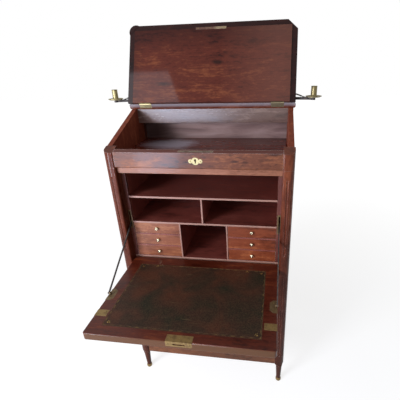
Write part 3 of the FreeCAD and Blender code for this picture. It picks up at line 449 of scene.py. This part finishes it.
# Polish of the wood: the outside is bright and the inside is duller. The bare wood's roughness runs
# from smooth to rough with the grain
POLISH_WORDS = ("specular", "coat", "coat_rough", "smooth", "rough")
LID_POLISH = dict(zip(POLISH_WORDS, (0.05, 0.2, 0.06, 0.4, 0.6)))
CASE_POLISH = dict(zip(POLISH_WORDS, (0.22, 0.1, 0.12, 0.28, 0.48)))
POST_POLISH = dict(zip(POLISH_WORDS, (0.06, 0.18, 0.07, 0.22, 0.4)))
WAXED = dict(zip(POLISH_WORDS, (0.5, 0.0, 0.3, 0.18, 0.3)))
WELL_POLISH = dict(zip(POLISH_WORDS, (0.14, 0.0, 0.3, 0.14, 0.28)))
SIDE_POLISH = dict(zip(POLISH_WORDS, (0.08, 0.0, 0.3, 0.45, 0.65)))
INSIDE_POLISH = dict(zip(POLISH_WORDS, (0.4, 0.0, 0.3, 0.36, 0.55)))

# Dark streak, main colour and light streak of each wood
LID_COLOURS = ("#2a0d0a", "#562419", "#7a4128")
MOULDING_COLOURS = ("#150909", "#27110f", "#3a1a16")
FRIEZE_COLOURS = ("#2a1108", "#653724", "#965a38")
RAIL_COLOURS = ("#653a28", "#8f5b44", "#a87158")
CASE_COLOURS = ("#3c170d", "#5d2a1a", "#7d4129")
LOW_RAIL_COLOURS = ("#3a1c0f", "#60361f", "#7e4c2e")
SIDE_COLOURS = ("#54231a", "#80402e", "#a05b41")
FASCIA_COLOURS = ("#4e3a35", "#684f48", "#7f665c")
FALL_COLOURS = ("#350f07", "#572112", "#7a3a1e")
INSIDE_COLOURS = ("#4f211b", "#7a3a31", "#965044")
STILE_COLOURS = ("#3d1712", "#5f2b22", "#7d4336")
WELL_COLOURS = ("#4c1c14", "#6c2c21", "#823f31")
BACK_COLOURS = ("#745c5b", "#957b79", "#aa908e")
STAINED_COLOURS = ("#5d2a23", "#8a463c", "#a65d50")
BARE_COLOURS = ("#7c5535", "#a5784e", "#c29868")
# The left drawers are painted lighter than the right ones: painted light, falling from the left
RIGHT_DRAWER_COLOURS = ("#4d1e0c", "#753315", "#985128")
LIT_LEFT_DRAWER_COLOURS = ("#54270f", "#804528", "#a06540")
# Colour of the painted highlight along the edges of the fitted inside
PAINTED_EDGE_HIGHLIGHT = "#a88474"

# Marks in the wood: centre and reach in metres, and colour
LID_MARKS = [((0.032, 0.342, 1.465), (0.03, 0.02, 0.012), "#1d0b08"),
             ((-0.2, 0.30, 1.385), (0.05, 0.02, 0.012), "#2a1210")]
FRIEZE_MARKS = [((0.29, FRONT_FACE, 1.169), (0.04, 0.02, 0.008), "#2c120d"),
                ((0.146, FRONT_FACE, 1.141), (0.02, 0.02, 0.006), "#32160e")]
# The two nail holes in the head rail are not cut: they are dark dots of painted shade
NAIL_HOLE_SHADE = [((-0.294, -0.009, 1.106), (0.0022, 0.02, 0.0022), "#120806"),
              ((-0.263, -0.009, 1.1066), (0.0022, 0.02, 0.0022), "#120806")]
# The pale patch on the well floor is a painted highlight
WELL_PAINTED_HIGHLIGHT = [((-0.185, 0.26, WELL_TOP), (0.15, 0.1, 0.02), "#c2b8c6")]

# The lid is darker along the top and the sides, a painted shade, and paler towards the right, a
# painted sheen
lid_along = Vector((0, math.sin(LID_LEAN), math.cos(LID_LEAN)))
lid_low, lid_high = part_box("lid_panel")
lid_end = lid_along.dot(Vector((0, lid_high.y, lid_high.z)))
lid_painted_shade_and_sheen = [(lid_along, lid_end - 0.05, 0.12, "#240c0b", 0.75),
              (RIGHTWARD, lid_high.x - 0.01, 0.04, "#2a0f0c", 0.3),
              (LEFTWARD, -lid_low.x - 0.02, 0.06, "#2a0f0c", 0.45),
              (RIGHTWARD, 0.16, 0.24, "#875f52", 0.28)]
# The top of the frieze, on the slope, is redder than its front
slope_up = Vector((0, -math.sin(SLOPE), math.cos(SLOPE)))
frieze_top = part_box("frieze")[1]
slope_reach = slope_up.dot(Vector((0, frieze_top.y, frieze_top.z))) - 0.8 * MILLIMETRE
frieze_shades = [(slope_up, slope_reach, CRISP, "#5a2216", 0.85)]
# The posts and sides are darker towards the floor
foot_shade = (DOWNWARD, -0.6, 0.6, "#280e08")
# The front of the ledge is tinted a pale blue grey
ledge_front = -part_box("top_ledge")[0].y - 4 * MILLIMETRE
ledge_shades = [(FORWARD, ledge_front, 4 * MILLIMETRE, "#8f898e", 0.75)]
# The front edge of the fall is worn through the polish
fall_front = -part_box("fall_panel")[0].y - MILLIMETRE
fall_shades = [(FORWARD, fall_front, CRISP, "#57381d", 0.8)]
# Shelves and partitions carry a painted highlight along their front edges, and drawers are bare
# behind their fronts
front_edge_highlights = [(FORWARD, -FITMENT_FRONT, CRISP, PAINTED_EDGE_HIGHLIGHT, 0.7)]
drawer_sides = [(BACKWARD, DRAWER_FRONT, CRISP, "#9a7650", 1.0)]

# The pale edges of the frieze, head rail, posts and fitted inside are mostly painted highlights,
# with some wear
lid_wood = mahogany("mahogany_lid", LID_COLOURS, ALONG_X, LID_POLISH, shift=(2, 5, 1),
                    shades=lid_painted_shade_and_sheen, marks=LID_MARKS)
frieze_wood = mahogany("mahogany_frieze", FRIEZE_COLOURS, ALONG_X, CASE_POLISH,
                       worn_and_highlit_edges=("#dccac2", 2.0), shift=(1, 3, 8), shades=frieze_shades,
                       marks=FRIEZE_MARKS, flecked=0.6)
rail_wood = mahogany("mahogany_head_rail", RAIL_COLOURS, ALONG_X, CASE_POLISH,
                     worn_and_highlit_edges=("#b98d7c", 1.2), shift=(7, 1, 3), marks=NAIL_HOLE_SHADE)
case_flat = mahogany("mahogany_case_lengthways", LOW_RAIL_COLOURS, ALONG_X, CASE_POLISH,
                     worn_and_highlit_edges=("#8d6a5e", 1.5), shift=(1, 3, 8))
case_tall = mahogany("mahogany_case_upright", CASE_COLOURS, ALONG_Z, POST_POLISH,
                     worn_and_highlit_edges=("#b58d80", 2.0), shift=(4, 2, 6), shades=[(*foot_shade, 0.6)])
side_wood = mahogany("mahogany_side_panels", SIDE_COLOURS, ALONG_Z, SIDE_POLISH, shift=(5, 9, 4),
                     shades=[(*foot_shade, 0.4)])
fascia_wood = mahogany("mahogany_hinge_fascia", FASCIA_COLOURS, ALONG_X, WAXED, shift=(3, 6, 2))
ledge_wood = mahogany("mahogany_top_ledge", CASE_COLOURS, ALONG_X, WAXED, shift=(3, 1, 5),
                      shades=ledge_shades)
fall_wood = mahogany("mahogany_fall", FALL_COLOURS, ALONG_X, CASE_POLISH,
                     worn_and_highlit_edges=("#8a6152", 1.6), shift=(9, 4, 3), shades=fall_shades)
inside_flat = mahogany("mahogany_inside_lengthways", INSIDE_COLOURS, ALONG_X, INSIDE_POLISH,
                       worn_and_highlit_edges=(PAINTED_EDGE_HIGHLIGHT, 2.0), shades=front_edge_highlights)
inside_tall = mahogany("mahogany_inside_upright", INSIDE_COLOURS, ALONG_Z, INSIDE_POLISH,
                       worn_and_highlit_edges=(PAINTED_EDGE_HIGHLIGHT, 2.0), shift=(3, 3, 1), shades=front_edge_highlights)
stile_wood = mahogany("mahogany_stiles", STILE_COLOURS, ALONG_Z, INSIDE_POLISH,
                      worn_and_highlit_edges=(PAINTED_EDGE_HIGHLIGHT, 1.2), shift=(6, 1, 2))
moulding_wood = mahogany("mahogany_lid_moulding", MOULDING_COLOURS, ALONG_X, LID_POLISH,
                         shift=(3, 2, 2))
well_wood = mahogany("mahogany_well_floor", WELL_COLOURS, ALONG_X, WELL_POLISH, shift=(6, 2, 5),
                     marks=WELL_PAINTED_HIGHLIGHT)
right_drawer_wood = mahogany("mahogany_drawers_right", RIGHT_DRAWER_COLOURS, ALONG_X,
                             INSIDE_POLISH, worn_and_highlit_edges=("#c39a88", 1.4), shift=(5, 2, 9),
                             shades=drawer_sides)
lit_left_drawer_wood = mahogany("mahogany_drawers_left", LIT_LEFT_DRAWER_COLOURS, ALONG_X,
                            INSIDE_POLISH, worn_and_highlit_edges=("#d0ad9d", 1.4), shift=(2, 7, 4),
                            shades=drawer_sides)
back_wood = pine_back("pine_back_board", BACK_COLOURS, STAINED_COLOURS, BARE_COLOURS)

# The right hinge and socket are painted duller than the left ones as painted shade, the light
# falling from the left, and the strike is bright on its right
hinge_painted_shade = [(RIGHTWARD, 0.0, CRISP, "#928870", 0.85)]
socket_painted_shade = [(RIGHTWARD, 0.0, CRISP, "#63583a", 0.75)]
strike_shades = [(RIGHTWARD, 0.018, 0.02, "#917e60", 0.8)]
plate_brass = brass("brass_keyhole_plates", "#938763", "#77643c",
                    start=0.74, metal=0.85, smooth=0.42, rough=0.55)
knob_brass = brass("brass_knobs", "#f0e6c8", "#a8935e",
                   start=0.8, metal=1.0, smooth=0.16, rough=0.36)
hinge_brass = brass("brass_hinges", "#aa9e78", "#7a6b46",
                    start=0.72, metal=0.85, smooth=0.4, rough=0.55, shades=hinge_painted_shade)
dull_brass = brass("brass_tarnished", "#866d40", "#654d2d",
                   start=0.62, metal=0.55, smooth=0.42, rough=0.6)
socket_brass = brass("brass_candle_sockets", "#8a7f5a", "#64573a",
                     start=0.66, metal=0.8, smooth=0.34, rough=0.52, shades=socket_painted_shade)
strike_brass = brass("brass_strike_worn", "#523327", "#6b5238",
                     start=0.66, metal=0.25, smooth=0.45, rough=0.6, shades=strike_shades)
strip_brass = brass("brass_lock_strip", "#77695a", "#5d4c3a",
                    start=0.62, metal=0.4, smooth=0.45, rough=0.6)
bracket_brass = brass("brass_stay_brackets", "#6f5a3c", "#54412a",
                      start=0.62, metal=0.5, smooth=0.42, rough=0.6)
screw_brass = brass("brass_screws", "#8f7a4c", "#5e4a2c",
                    start=0.6, metal=0.8, smooth=0.35, rough=0.55)
iron = blacked_iron("iron_blacked")
leather = tooled_leather("calf_leather_tooled")
gilding = gold_leaf("gold_leaf_tooling")

FINISH = {
    lid_wood: "lid_panel",
    moulding_wood: "lid_moulding",
    frieze_wood: "frieze",
    rail_wood: "fall_head_rail",
    case_flat: "plinth_rail waist_rail",
    case_tall: "right_front_post left_front_post right_rear_post left_rear_post "
               "right_door left_door",
    side_wood: "right_side_panel left_side_panel",
    fascia_wood: "hinge_fascia",
    ledge_wood: "top_ledge",
    fall_wood: "fall_panel",
    inside_flat: "cupboard_floor writing_floor upper_shelf drawer_shelf drawer_blades",
    inside_tall: "fitment_sides fitment_partitions",
    stile_wood: "fitment_stiles",
    well_wood: "well_floor",
    right_drawer_wood: "right_low_drawer right_middle_drawer right_top_drawer",
    lit_left_drawer_wood: "left_low_drawer left_middle_drawer left_top_drawer",
    back_wood: "back_panel",
    plate_brass: "frieze_escutcheon door_key_plate",
    knob_brass: "right_low_knob right_middle_knob right_top_knob "
                "left_low_knob left_middle_knob left_top_knob",
    hinge_brass: "ledge_hinge_leaves lid_hinge_leaves",
    dull_brass: "foot_caps fall_pivot_pins door_pivot_pins fall_lock fall_side_plates",
    bracket_brass: "stay_brackets stay_slot_plates",
    strike_brass: "lid_strike_plate",
    strip_brass: "lid_lock_strip",
    socket_brass: "right_candle_socket left_candle_socket",
    iron: "right_stay left_stay right_candle_arm left_candle_arm candle_arm_posts",
    leather: "fall_leather",
}
for finish, names in FINISH.items():
    for name in names.split():
        for place in nodes[name].material_slots:
            place.material = finish


# Detail pieces

def pick_faces(piece, wanted):
    """In edit mode, selects the faces whose middle and direction are wanted."""
    bpy.ops.mesh.select_mode(type="FACE")
    bpy.ops.mesh.select_all(action="DESELECT")
    work = bmesh.from_edit_mesh(piece.data)
    for face in work.faces:
        face.select_set(bool(wanted(face.calc_center_median(), face.normal)))
    bmesh.update_edit_mesh(piece.data)


def screw_head(radius, height):
    """A countersunk screw head with its slot, facing up at the origin."""
    half_slot = radius * 0.34
    slot_end = radius * 0.12
    slot_depth = height * 0.4
    bpy.ops.object.select_all(action="DESELECT")
    bpy.ops.mesh.primitive_cylinder_add(vertices=24, radius=radius, depth=height,
                                        location=(0, 0, 0))
    head = bpy.context.object
    bpy.ops.object.mode_set(mode="EDIT")
    for side in (-1, 1):
        bpy.ops.mesh.select_all(action="SELECT")
        bpy.ops.mesh.bisect(plane_co=(0, side * half_slot, 0), plane_no=(0, 1, 0))
    pick_faces(head, lambda middle, facing: facing.z > 0.9 and abs(middle.y) < half_slot)
    bpy.ops.mesh.inset(thickness=slot_end)
    bpy.ops.mesh.extrude_region_move(TRANSFORM_OT_translate={"value": (0, 0, -slot_depth)})
    bpy.ops.object.mode_set(mode="OBJECT")
    soften = head.modifiers.new("soft_rim", "BEVEL")
    soften.width = radius * 0.07
    soften.segments = 2
    soften.limit_method = "ANGLE"
    bpy.ops.object.modifier_apply(modifier="soft_rim")
    bpy.ops.object.shade_smooth_by_angle(angle=math.radians(35))
    return head


def pin_head(radius):
    """A small domed pin head, facing up at the origin."""
    foot = radius * 0.2
    flattened = 0.6
    bpy.ops.object.select_all(action="DESELECT")
    bpy.ops.mesh.primitive_uv_sphere_add(segments=20, ring_count=12, radius=radius,
                                         location=(0, 0, 0))
    head = bpy.context.object
    bpy.ops.object.mode_set(mode="EDIT")
    bpy.ops.mesh.select_all(action="SELECT")
    bpy.ops.mesh.bisect(plane_co=(0, 0, -foot), plane_no=(0, 0, 1), use_fill=True,
                        clear_inner=True)
    bpy.ops.mesh.select_all(action="SELECT")
    bpy.ops.transform.resize(value=(1, 1, flattened), center_override=(0, 0, 0))
    bpy.ops.object.mode_set(mode="OBJECT")
    bpy.ops.object.shade_smooth_by_angle(angle=math.radians(50))
    return head


def gilt_flower():
    """A rosette with three leaves, as a bookbinder's corner tool prints it, flat at the origin."""
    size = 3.4 * MILLIMETRE
    film = 0.12 * MILLIMETRE
    pinch = 0.5
    leaf_reach = 2.0 * size
    leaf_length, leaf_narrowed = size * 0.75, 0.4
    bpy.ops.object.select_all(action="DESELECT")
    bpy.ops.mesh.primitive_circle_add(vertices=16, radius=size, fill_type="NGON",
                                      location=(0, 0, 0))
    flower = bpy.context.object
    bpy.ops.object.mode_set(mode="EDIT")
    bpy.ops.mesh.select_mode(type="VERT")
    bpy.ops.mesh.select_all(action="DESELECT")
    work = bmesh.from_edit_mesh(flower.data)
    work.verts.ensure_lookup_table()
    for corner in list(work.verts)[::2]:
        corner.select_set(True)
    bmesh.update_edit_mesh(flower.data)
    bpy.ops.transform.resize(value=(pinch, pinch, 1), center_override=(0, 0, 0))
    for turn in (0, 45, 90):
        angle = math.radians(turn)
        spot = Vector((math.cos(angle), math.sin(angle), 0)) * leaf_reach
        bpy.ops.mesh.select_all(action="DESELECT")
        bpy.ops.mesh.primitive_circle_add(vertices=4, radius=leaf_length, fill_type="NGON",
                                          location=spot, rotation=(0, 0, angle))
        bpy.ops.transform.resize(value=(1, leaf_narrowed, 1), center_override=spot,
                                 orient_matrix=Matrix.Rotation(angle, 3, "Z").transposed(),
                                 orient_type="LOCAL", orient_matrix_type="LOCAL")
    bpy.ops.mesh.select_all(action="SELECT")
    bpy.ops.mesh.extrude_region_move(TRANSFORM_OT_translate={"value": (0, 0, film)})
    bpy.ops.mesh.select_all(action="SELECT")
    bpy.ops.mesh.normals_make_consistent(inside=False)
    bpy.ops.object.mode_set(mode="OBJECT")
    return flower


def surface_spot(node, start, heading):
    """Where a straight line meets a piece, and the way its surface faces there."""
    hit, place, facing, _ = nodes[node].ray_cast(Vector(start), heading)
    if not hit:
        raise RuntimeError("nothing of " + node + " lies on that line")
    return place, facing


def set_copies(pattern, name, body, finish, spots):
    """Copies a small piece to each place, turned to face the given way, and joins the copies into
    one piece."""
    copies = []
    for place, facing, turn in spots:
        copy = pattern.copy()
        copy.data = pattern.data.copy()
        bpy.context.scene.collection.objects.link(copy)
        upright = UPWARD.rotation_difference(facing).to_matrix().to_4x4()
        spin = Matrix.Rotation(math.radians(turn), 4, "Z")
        copy.data.transform(Matrix.Translation(place) @ upright @ spin)
        copies.append(copy)
    bpy.ops.object.select_all(action="DESELECT")
    for copy in copies:
        copy.select_set(True)
    piece = copies[0]
    bpy.context.view_layer.objects.active = piece
    bpy.ops.object.join()
    piece.name = name
    piece.data.name = name
    piece.data.materials.clear()
    piece.data.materials.append(finish)
    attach(piece, body)
    return piece


def centre(node):
    """The middle of a node's box."""
    low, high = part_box(node)
    return (low + high) / 2


# Where screws and pins stand: in from the ends and edges of the plates or out from their middles,
# and for the hinges and stiles their places across and up
LOCK_TOP_INSET, LOCK_TOP_DEPTH = 12 * MILLIMETRE, 16 * MILLIMETRE
LOCK_EDGE_INSET = 7 * MILLIMETRE
SIDE_PLATE_INSETS, SIDE_PLATE_STAGGER = (9 * MILLIMETRE, 34 * MILLIMETRE), 12 * MILLIMETRE
BRACKET_END, BRACKET_SIDE = 12 * MILLIMETRE, 13.5 * MILLIMETRE
HINGE_X, HINGE_Z, HINGE_SPACING = 0.29, 1.29, 19 * MILLIMETRE
SLOT_PLATE_END, SLOT_PLATE_SIDE = 3.5 * MILLIMETRE, 8 * MILLIMETRE
STILE_X, STILE_Z = 0.313, 1.074
STRIP_REACH = 58 * MILLIMETRE
STRIKE_REACH = 56 * MILLIMETRE
PLATE_PIN_REACH = 19.5 * MILLIMETRE
KEY_PIN_INSET = 4 * MILLIMETRE

fall_low, fall_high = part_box("fall_panel")
lock_low, lock_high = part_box("fall_lock")
bracket_low, bracket_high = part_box("stay_brackets")
slot_low, slot_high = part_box("stay_slot_plates")
key_low, key_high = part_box("door_key_plate")
lock_middle = centre("fall_lock")
# How far off a line starts that looks for the surface of a plate
CLEAR = 0.2
ABOVE = fall_high.z + CLEAR
BEFORE = fall_low.y - CLEAR

screw = screw_head(2.6 * MILLIMETRE, 1.2 * MILLIMETRE)
small_screw = screw_head(2.0 * MILLIMETRE, 1.0 * MILLIMETRE)
pin = pin_head(1.7 * MILLIMETRE)

# Each screw is found on the plate that it holds, and no two slots stand alike
fall_spots = []
lock_y = lock_low.y + LOCK_TOP_DEPTH
lock_top = (lock_low.x + LOCK_TOP_INSET, lock_middle.x, lock_high.x - LOCK_TOP_INSET)
for number, x in enumerate(lock_top):
    spot = surface_spot("fall_lock", (x, lock_y, ABOVE), DOWNWARD)
    fall_spots.append((*spot, 35 + 50 * number))
for number, x in enumerate((lock_low.x + LOCK_EDGE_INSET, lock_high.x - LOCK_EDGE_INSET)):
    spot = surface_spot("fall_lock", (x, BEFORE, lock_middle.z), BACKWARD)
    fall_spots.append((*spot, 80 * number))
side_plate_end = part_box("fall_side_plates")[1].x
for side in (-1, 1):
    for number, inset in enumerate(SIDE_PLATE_INSETS):
        y = centre("fall_side_plates").y + (number - 0.5) * SIDE_PLATE_STAGGER
        spot = surface_spot("fall_side_plates", (side * (side_plate_end - inset), y, ABOVE),
                            DOWNWARD)
        fall_spots.append((*spot, 20 + 65 * number + 30 * side))
    for number, y in enumerate((bracket_low.y + BRACKET_END, bracket_high.y - BRACKET_END)):
        spot = surface_spot("stay_brackets", (side * (fall_high.x - BRACKET_SIDE), y, ABOVE),
                            DOWNWARD)
        fall_spots.append((*spot, 110 * number + 15 * side))
set_copies(screw, "fall_screws", "fall", screw_brass, fall_spots)

case_spots = []
for side in (-1, 1):
    for number, shift in enumerate((-HINGE_SPACING, 0.0, HINGE_SPACING)):
        spot = surface_spot("ledge_hinge_leaves", (side * HINGE_X + shift, BEFORE, HINGE_Z),
                            BACKWARD)
        case_spots.append((*spot, 40 * number + 10 * side))
    for number, z in enumerate((slot_low.z + SLOT_PLATE_END, slot_high.z - SLOT_PLATE_END)):
        spot = surface_spot("stay_slot_plates",
                            (side * (slot_high.x - SLOT_PLATE_SIDE), BEFORE, z), BACKWARD)
        case_spots.append((*spot, 70 * number + 25 * side))
    spot = surface_spot("fitment_stiles", (side * STILE_X, BEFORE, STILE_Z), BACKWARD)
    case_spots.append((*spot, 15 * side))
strip_middle = centre("lid_lock_strip")
for number, x in enumerate((-STRIP_REACH, 0.0, STRIP_REACH)):
    spot = surface_spot("lid_lock_strip", (x, strip_middle.y, strip_middle.z + CLEAR), DOWNWARD)
    case_spots.append((*spot, 55 * number))
set_copies(small_screw, "case_screws", "carcase", screw_brass, case_spots)

lid_facing = Vector((0, -math.cos(LID_LEAN), math.sin(LID_LEAN)))
strike_middle = centre("lid_strike_plate")
lid_spots = []
for number, x in enumerate((-STRIKE_REACH, STRIKE_REACH)):
    start = Vector((x, strike_middle.y, strike_middle.z)) + lid_facing * CLEAR
    spot = surface_spot("lid_strike_plate", start, -lid_facing)
    lid_spots.append((*spot, 75 * number + 20))
set_copies(small_screw, "lid_screws", "lid", screw_brass, lid_spots)

plate_z = centre("frieze_escutcheon").z
plate_spots = []
for side in (-1, 1):
    spot = surface_spot("frieze_escutcheon", (side * PLATE_PIN_REACH, BEFORE, plate_z), BACKWARD)
    plate_spots.append((*spot, 0))
set_copies(pin, "keyhole_plate_pins", "carcase", screw_brass, plate_spots)
key_x = centre("door_key_plate").x
key_spots = []
for z in (key_low.z + KEY_PIN_INSET, key_high.z - KEY_PIN_INSET):
    spot = surface_spot("door_key_plate", (key_x, BEFORE, z), BACKWARD)
    key_spots.append((*spot, 0))
set_copies(pin, "door_plate_pins", "right_door", screw_brass, key_spots)


def leather_skin():
    """The glued skin: a thin sheet with its border pressed in by the tooling wheel."""
    press = 0.25 * MILLIMETRE
    press_side = 0.5 * MILLIMETRE
    bpy.ops.object.select_all(action="DESELECT")
    bpy.ops.mesh.primitive_cube_add(size=1, location=(LEATHER_LOW + LEATHER_HIGH) / 2,
                                    scale=LEATHER_HIGH - LEATHER_LOW)
    skin = bpy.context.object
    bpy.ops.object.transform_apply(location=True, rotation=True, scale=True)
    bpy.ops.object.mode_set(mode="EDIT")
    pick_faces(skin, lambda middle, facing: facing.z > 0.9)
    bpy.ops.mesh.inset(thickness=GOLD_LINE[0] * MILLIMETRE)
    bpy.ops.mesh.inset(thickness=press_side)
    bpy.ops.transform.translate(value=(0, 0, -press))
    bpy.ops.mesh.inset(thickness=(GOLD_DASHES[1] - GOLD_LINE[0]) * MILLIMETRE)
    bpy.ops.mesh.inset(thickness=press_side)
    bpy.ops.transform.translate(value=(0, 0, press))
    bpy.ops.object.mode_set(mode="OBJECT")
    skin.name = skin.data.name = "leather_skin"
    skin.data.materials.append(leather)
    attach(skin, "fall")
    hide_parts("fall_leather")
    return skin


skin = leather_skin()
flower = gilt_flower()
# One flower in each corner, and two along the back between them
flower_inset = 15 * MILLIMETRE
left, right = LEATHER_LOW.x + flower_inset, LEATHER_HIGH.x - flower_inset
front, back = LEATHER_LOW.y + flower_inset, LEATHER_HIGH.y - flower_inset
back_pair_x, back_pair_y = 0.19, LEATHER_HIGH.y - 0.5 * flower_inset
flower_spots = []
for x, y, turn in ((left, front, 0), (right, front, 90), (right, back, 180), (left, back, 270),
                   (-back_pair_x, back_pair_y, 225), (back_pair_x, back_pair_y, 225)):
    flower_spots.append((Vector((x, y, LEATHER_HIGH.z)), UPWARD, turn))
gilt_corners = set_copies(flower, "leather_gilding", "fall", gilding,
                          flower_spots)

for pattern in (screw, small_screw, pin, flower):
    bpy.data.objects.remove(pattern)

# Boards and plates lose their knife edges: a small live rounding on the carried-over solids, by its
# width in millimetres
SOFT_EDGES = {
    1.2: "lid_panel lid_moulding frieze plinth_rail waist_rail top_ledge hinge_fascia fall_panel "
         "right_door left_door upper_shelf drawer_shelf writing_floor fall_head_rail "
         "fitment_stiles fitment_partitions",
    0.8: "drawer_blades right_low_drawer right_middle_drawer right_top_drawer left_low_drawer "
         "left_middle_drawer left_top_drawer right_stay left_stay",
    0.5: "fall_lock fall_side_plates stay_brackets frieze_escutcheon door_key_plate",
}
for width, names in SOFT_EDGES.items():
    for name in names.split():
        weld = nodes[name].modifiers.new("join", "WELD")
        weld.merge_threshold = 0.01 * MILLIMETRE
        soften = nodes[name].modifiers.new("soft_edges", "BEVEL")
        soften.width = width * MILLIMETRE
        soften.segments = 2
        soften.limit_method = "ANGLE"
        soften.angle_limit = math.radians(40)
        soften.harden_normals = True


# Floor, light and camera

def seen_rays(tree):
    """One for what the camera sees, straight, in a polish or through glass, and zero for light."""
    rays = add(tree, "ShaderNodeLightPath").outputs
    seen = add(tree, "ShaderNodeMath", {"operation": "MAXIMUM"},
               {0: rays["Is Camera Ray"], 1: rays["Is Glossy Ray"]})
    return add(tree, "ShaderNodeMath", {"operation": "MAXIMUM"},
               {0: seen, 1: rays["Is Transmission Ray"]})


PAPER_SIZE = 24.0
bpy.ops.object.select_all(action="DESELECT")
bpy.ops.mesh.primitive_plane_add(size=PAPER_SIZE, location=(0, 0, 0))
floor = bpy.context.object
floor.name = "studio_floor"
material, tree, place = start_material("studio_paper")
seen = seen_rays(tree)
# The paper brightens away from the object, so that it meets the white behind it without a line
away = add(tree, "ShaderNodeVectorMath", {"operation": "LENGTH"}, {0: place})
glow = add(tree, "ShaderNodeMapRange",
           {"From Min": 0.8, "From Max": 3.5, "To Min": 0.78, "To Max": 0.97}, {"Value": away})
lift = add(tree, "ShaderNodeMapRange", {"To Min": 0.1}, {"Value": seen, "To Max": glow})
shader = add(tree, "ShaderNodeBsdfPrincipled",
             {"Base Color": linear("#a2a2a2"), "Roughness": 1.0, "Specular IOR Level": 0.0,
              "Emission Color": linear("#ffffff")}, {"Emission Strength": lift})
add(tree, "ShaderNodeOutputMaterial", {}, {"Surface": shader})
floor.data.materials.append(material)

world = bpy.data.worlds.new("studio_world")
bpy.context.scene.world = world
world.use_nodes = True
tree = world.node_tree
tree.nodes.clear()
seen = seen_rays(tree)
strength = add(tree, "ShaderNodeMapRange", {"To Min": 0.25, "To Max": 1.0}, {"Value": seen})
sky = add(tree, "ShaderNodeBackground", {"Color": linear("#ffffff")}, {"Strength": strength})
add(tree, "ShaderNodeOutputWorld", {}, {"Surface": sky})


def softbox(name, place, aim, size, power, code, spread=True):
    """One soft lamp, turned to the point that it lights and hidden from the camera. One that
    spreads no light only gleams in the polish."""
    lamp = bpy.data.lights.new(name, "AREA")
    lamp.shape = "RECTANGLE"
    lamp.size, lamp.size_y = size
    lamp.energy = power
    lamp.color = linear(code)[:3]
    holder = bpy.data.objects.new(name, lamp)
    bpy.context.scene.collection.objects.link(holder)
    holder.location = place
    heading = Vector(aim) - Vector(place)
    holder.rotation_euler = heading.to_track_quat("-Z", "Y").to_euler()
    holder.visible_camera = False
    holder.visible_diffuse = spread


softbox("window_left", place=(-2.0, -2.4, 1.7), aim=(0, 0.1, 1.0), size=(1.0, 1.2), power=98,
        code="#f2f6ff")
softbox("room_front", place=(0.6, -3.0, 1.5), aim=(0, 0.1, 1.0), size=(1.6, 1.2), power=8,
        code="#fffaf4")
softbox("skylight", place=(-1.5, -1.75, 2.8), aim=(-1.5, -1.75, 0), size=(1.44, 1.7), power=45,
        code="#f2f6ff", spread=False)
softbox("post_gleam", place=(-1.65, -1.5, 0.42), aim=(-0.35, 0, 1.0), size=(0.6, 0.7), power=32,
        code="#eef2ff", spread=False)
softbox("low_gleam", place=(-0.9, -1.9, 0.56), aim=(-0.15, 0, 1.15), size=(0.4, 0.3), power=12,
        code="#d9e2ff")
softbox("high_gleam", place=(-0.78, -1.9, 0.95), aim=(-0.1, 0.3, 1.25), size=(0.9, 0.36), power=15,
        code="#d8e4ff")

# The camera stands where the picture was taken from, in metres and degrees
CAMERA_PLACE = (0.2903, -1.1214, 1.4845)
CAMERA_TURN = (65.1232, 1.6926, 8.1443)
camera = bpy.data.cameras.new("photo_camera")
camera.sensor_width = 36.0
camera.lens = 28.845
camera.shift_x = -0.0712
camera.shift_y = 0.0129
camera.clip_start = 0.01
holder = bpy.data.objects.new("photo_camera", camera)
bpy.context.scene.collection.objects.link(holder)
holder.location = CAMERA_PLACE
holder.rotation_euler = [math.radians(turn) for turn in CAMERA_TURN]
bpy.context.scene.camera = holder
bpy.context.scene.view_settings.view_transform = "Standard"
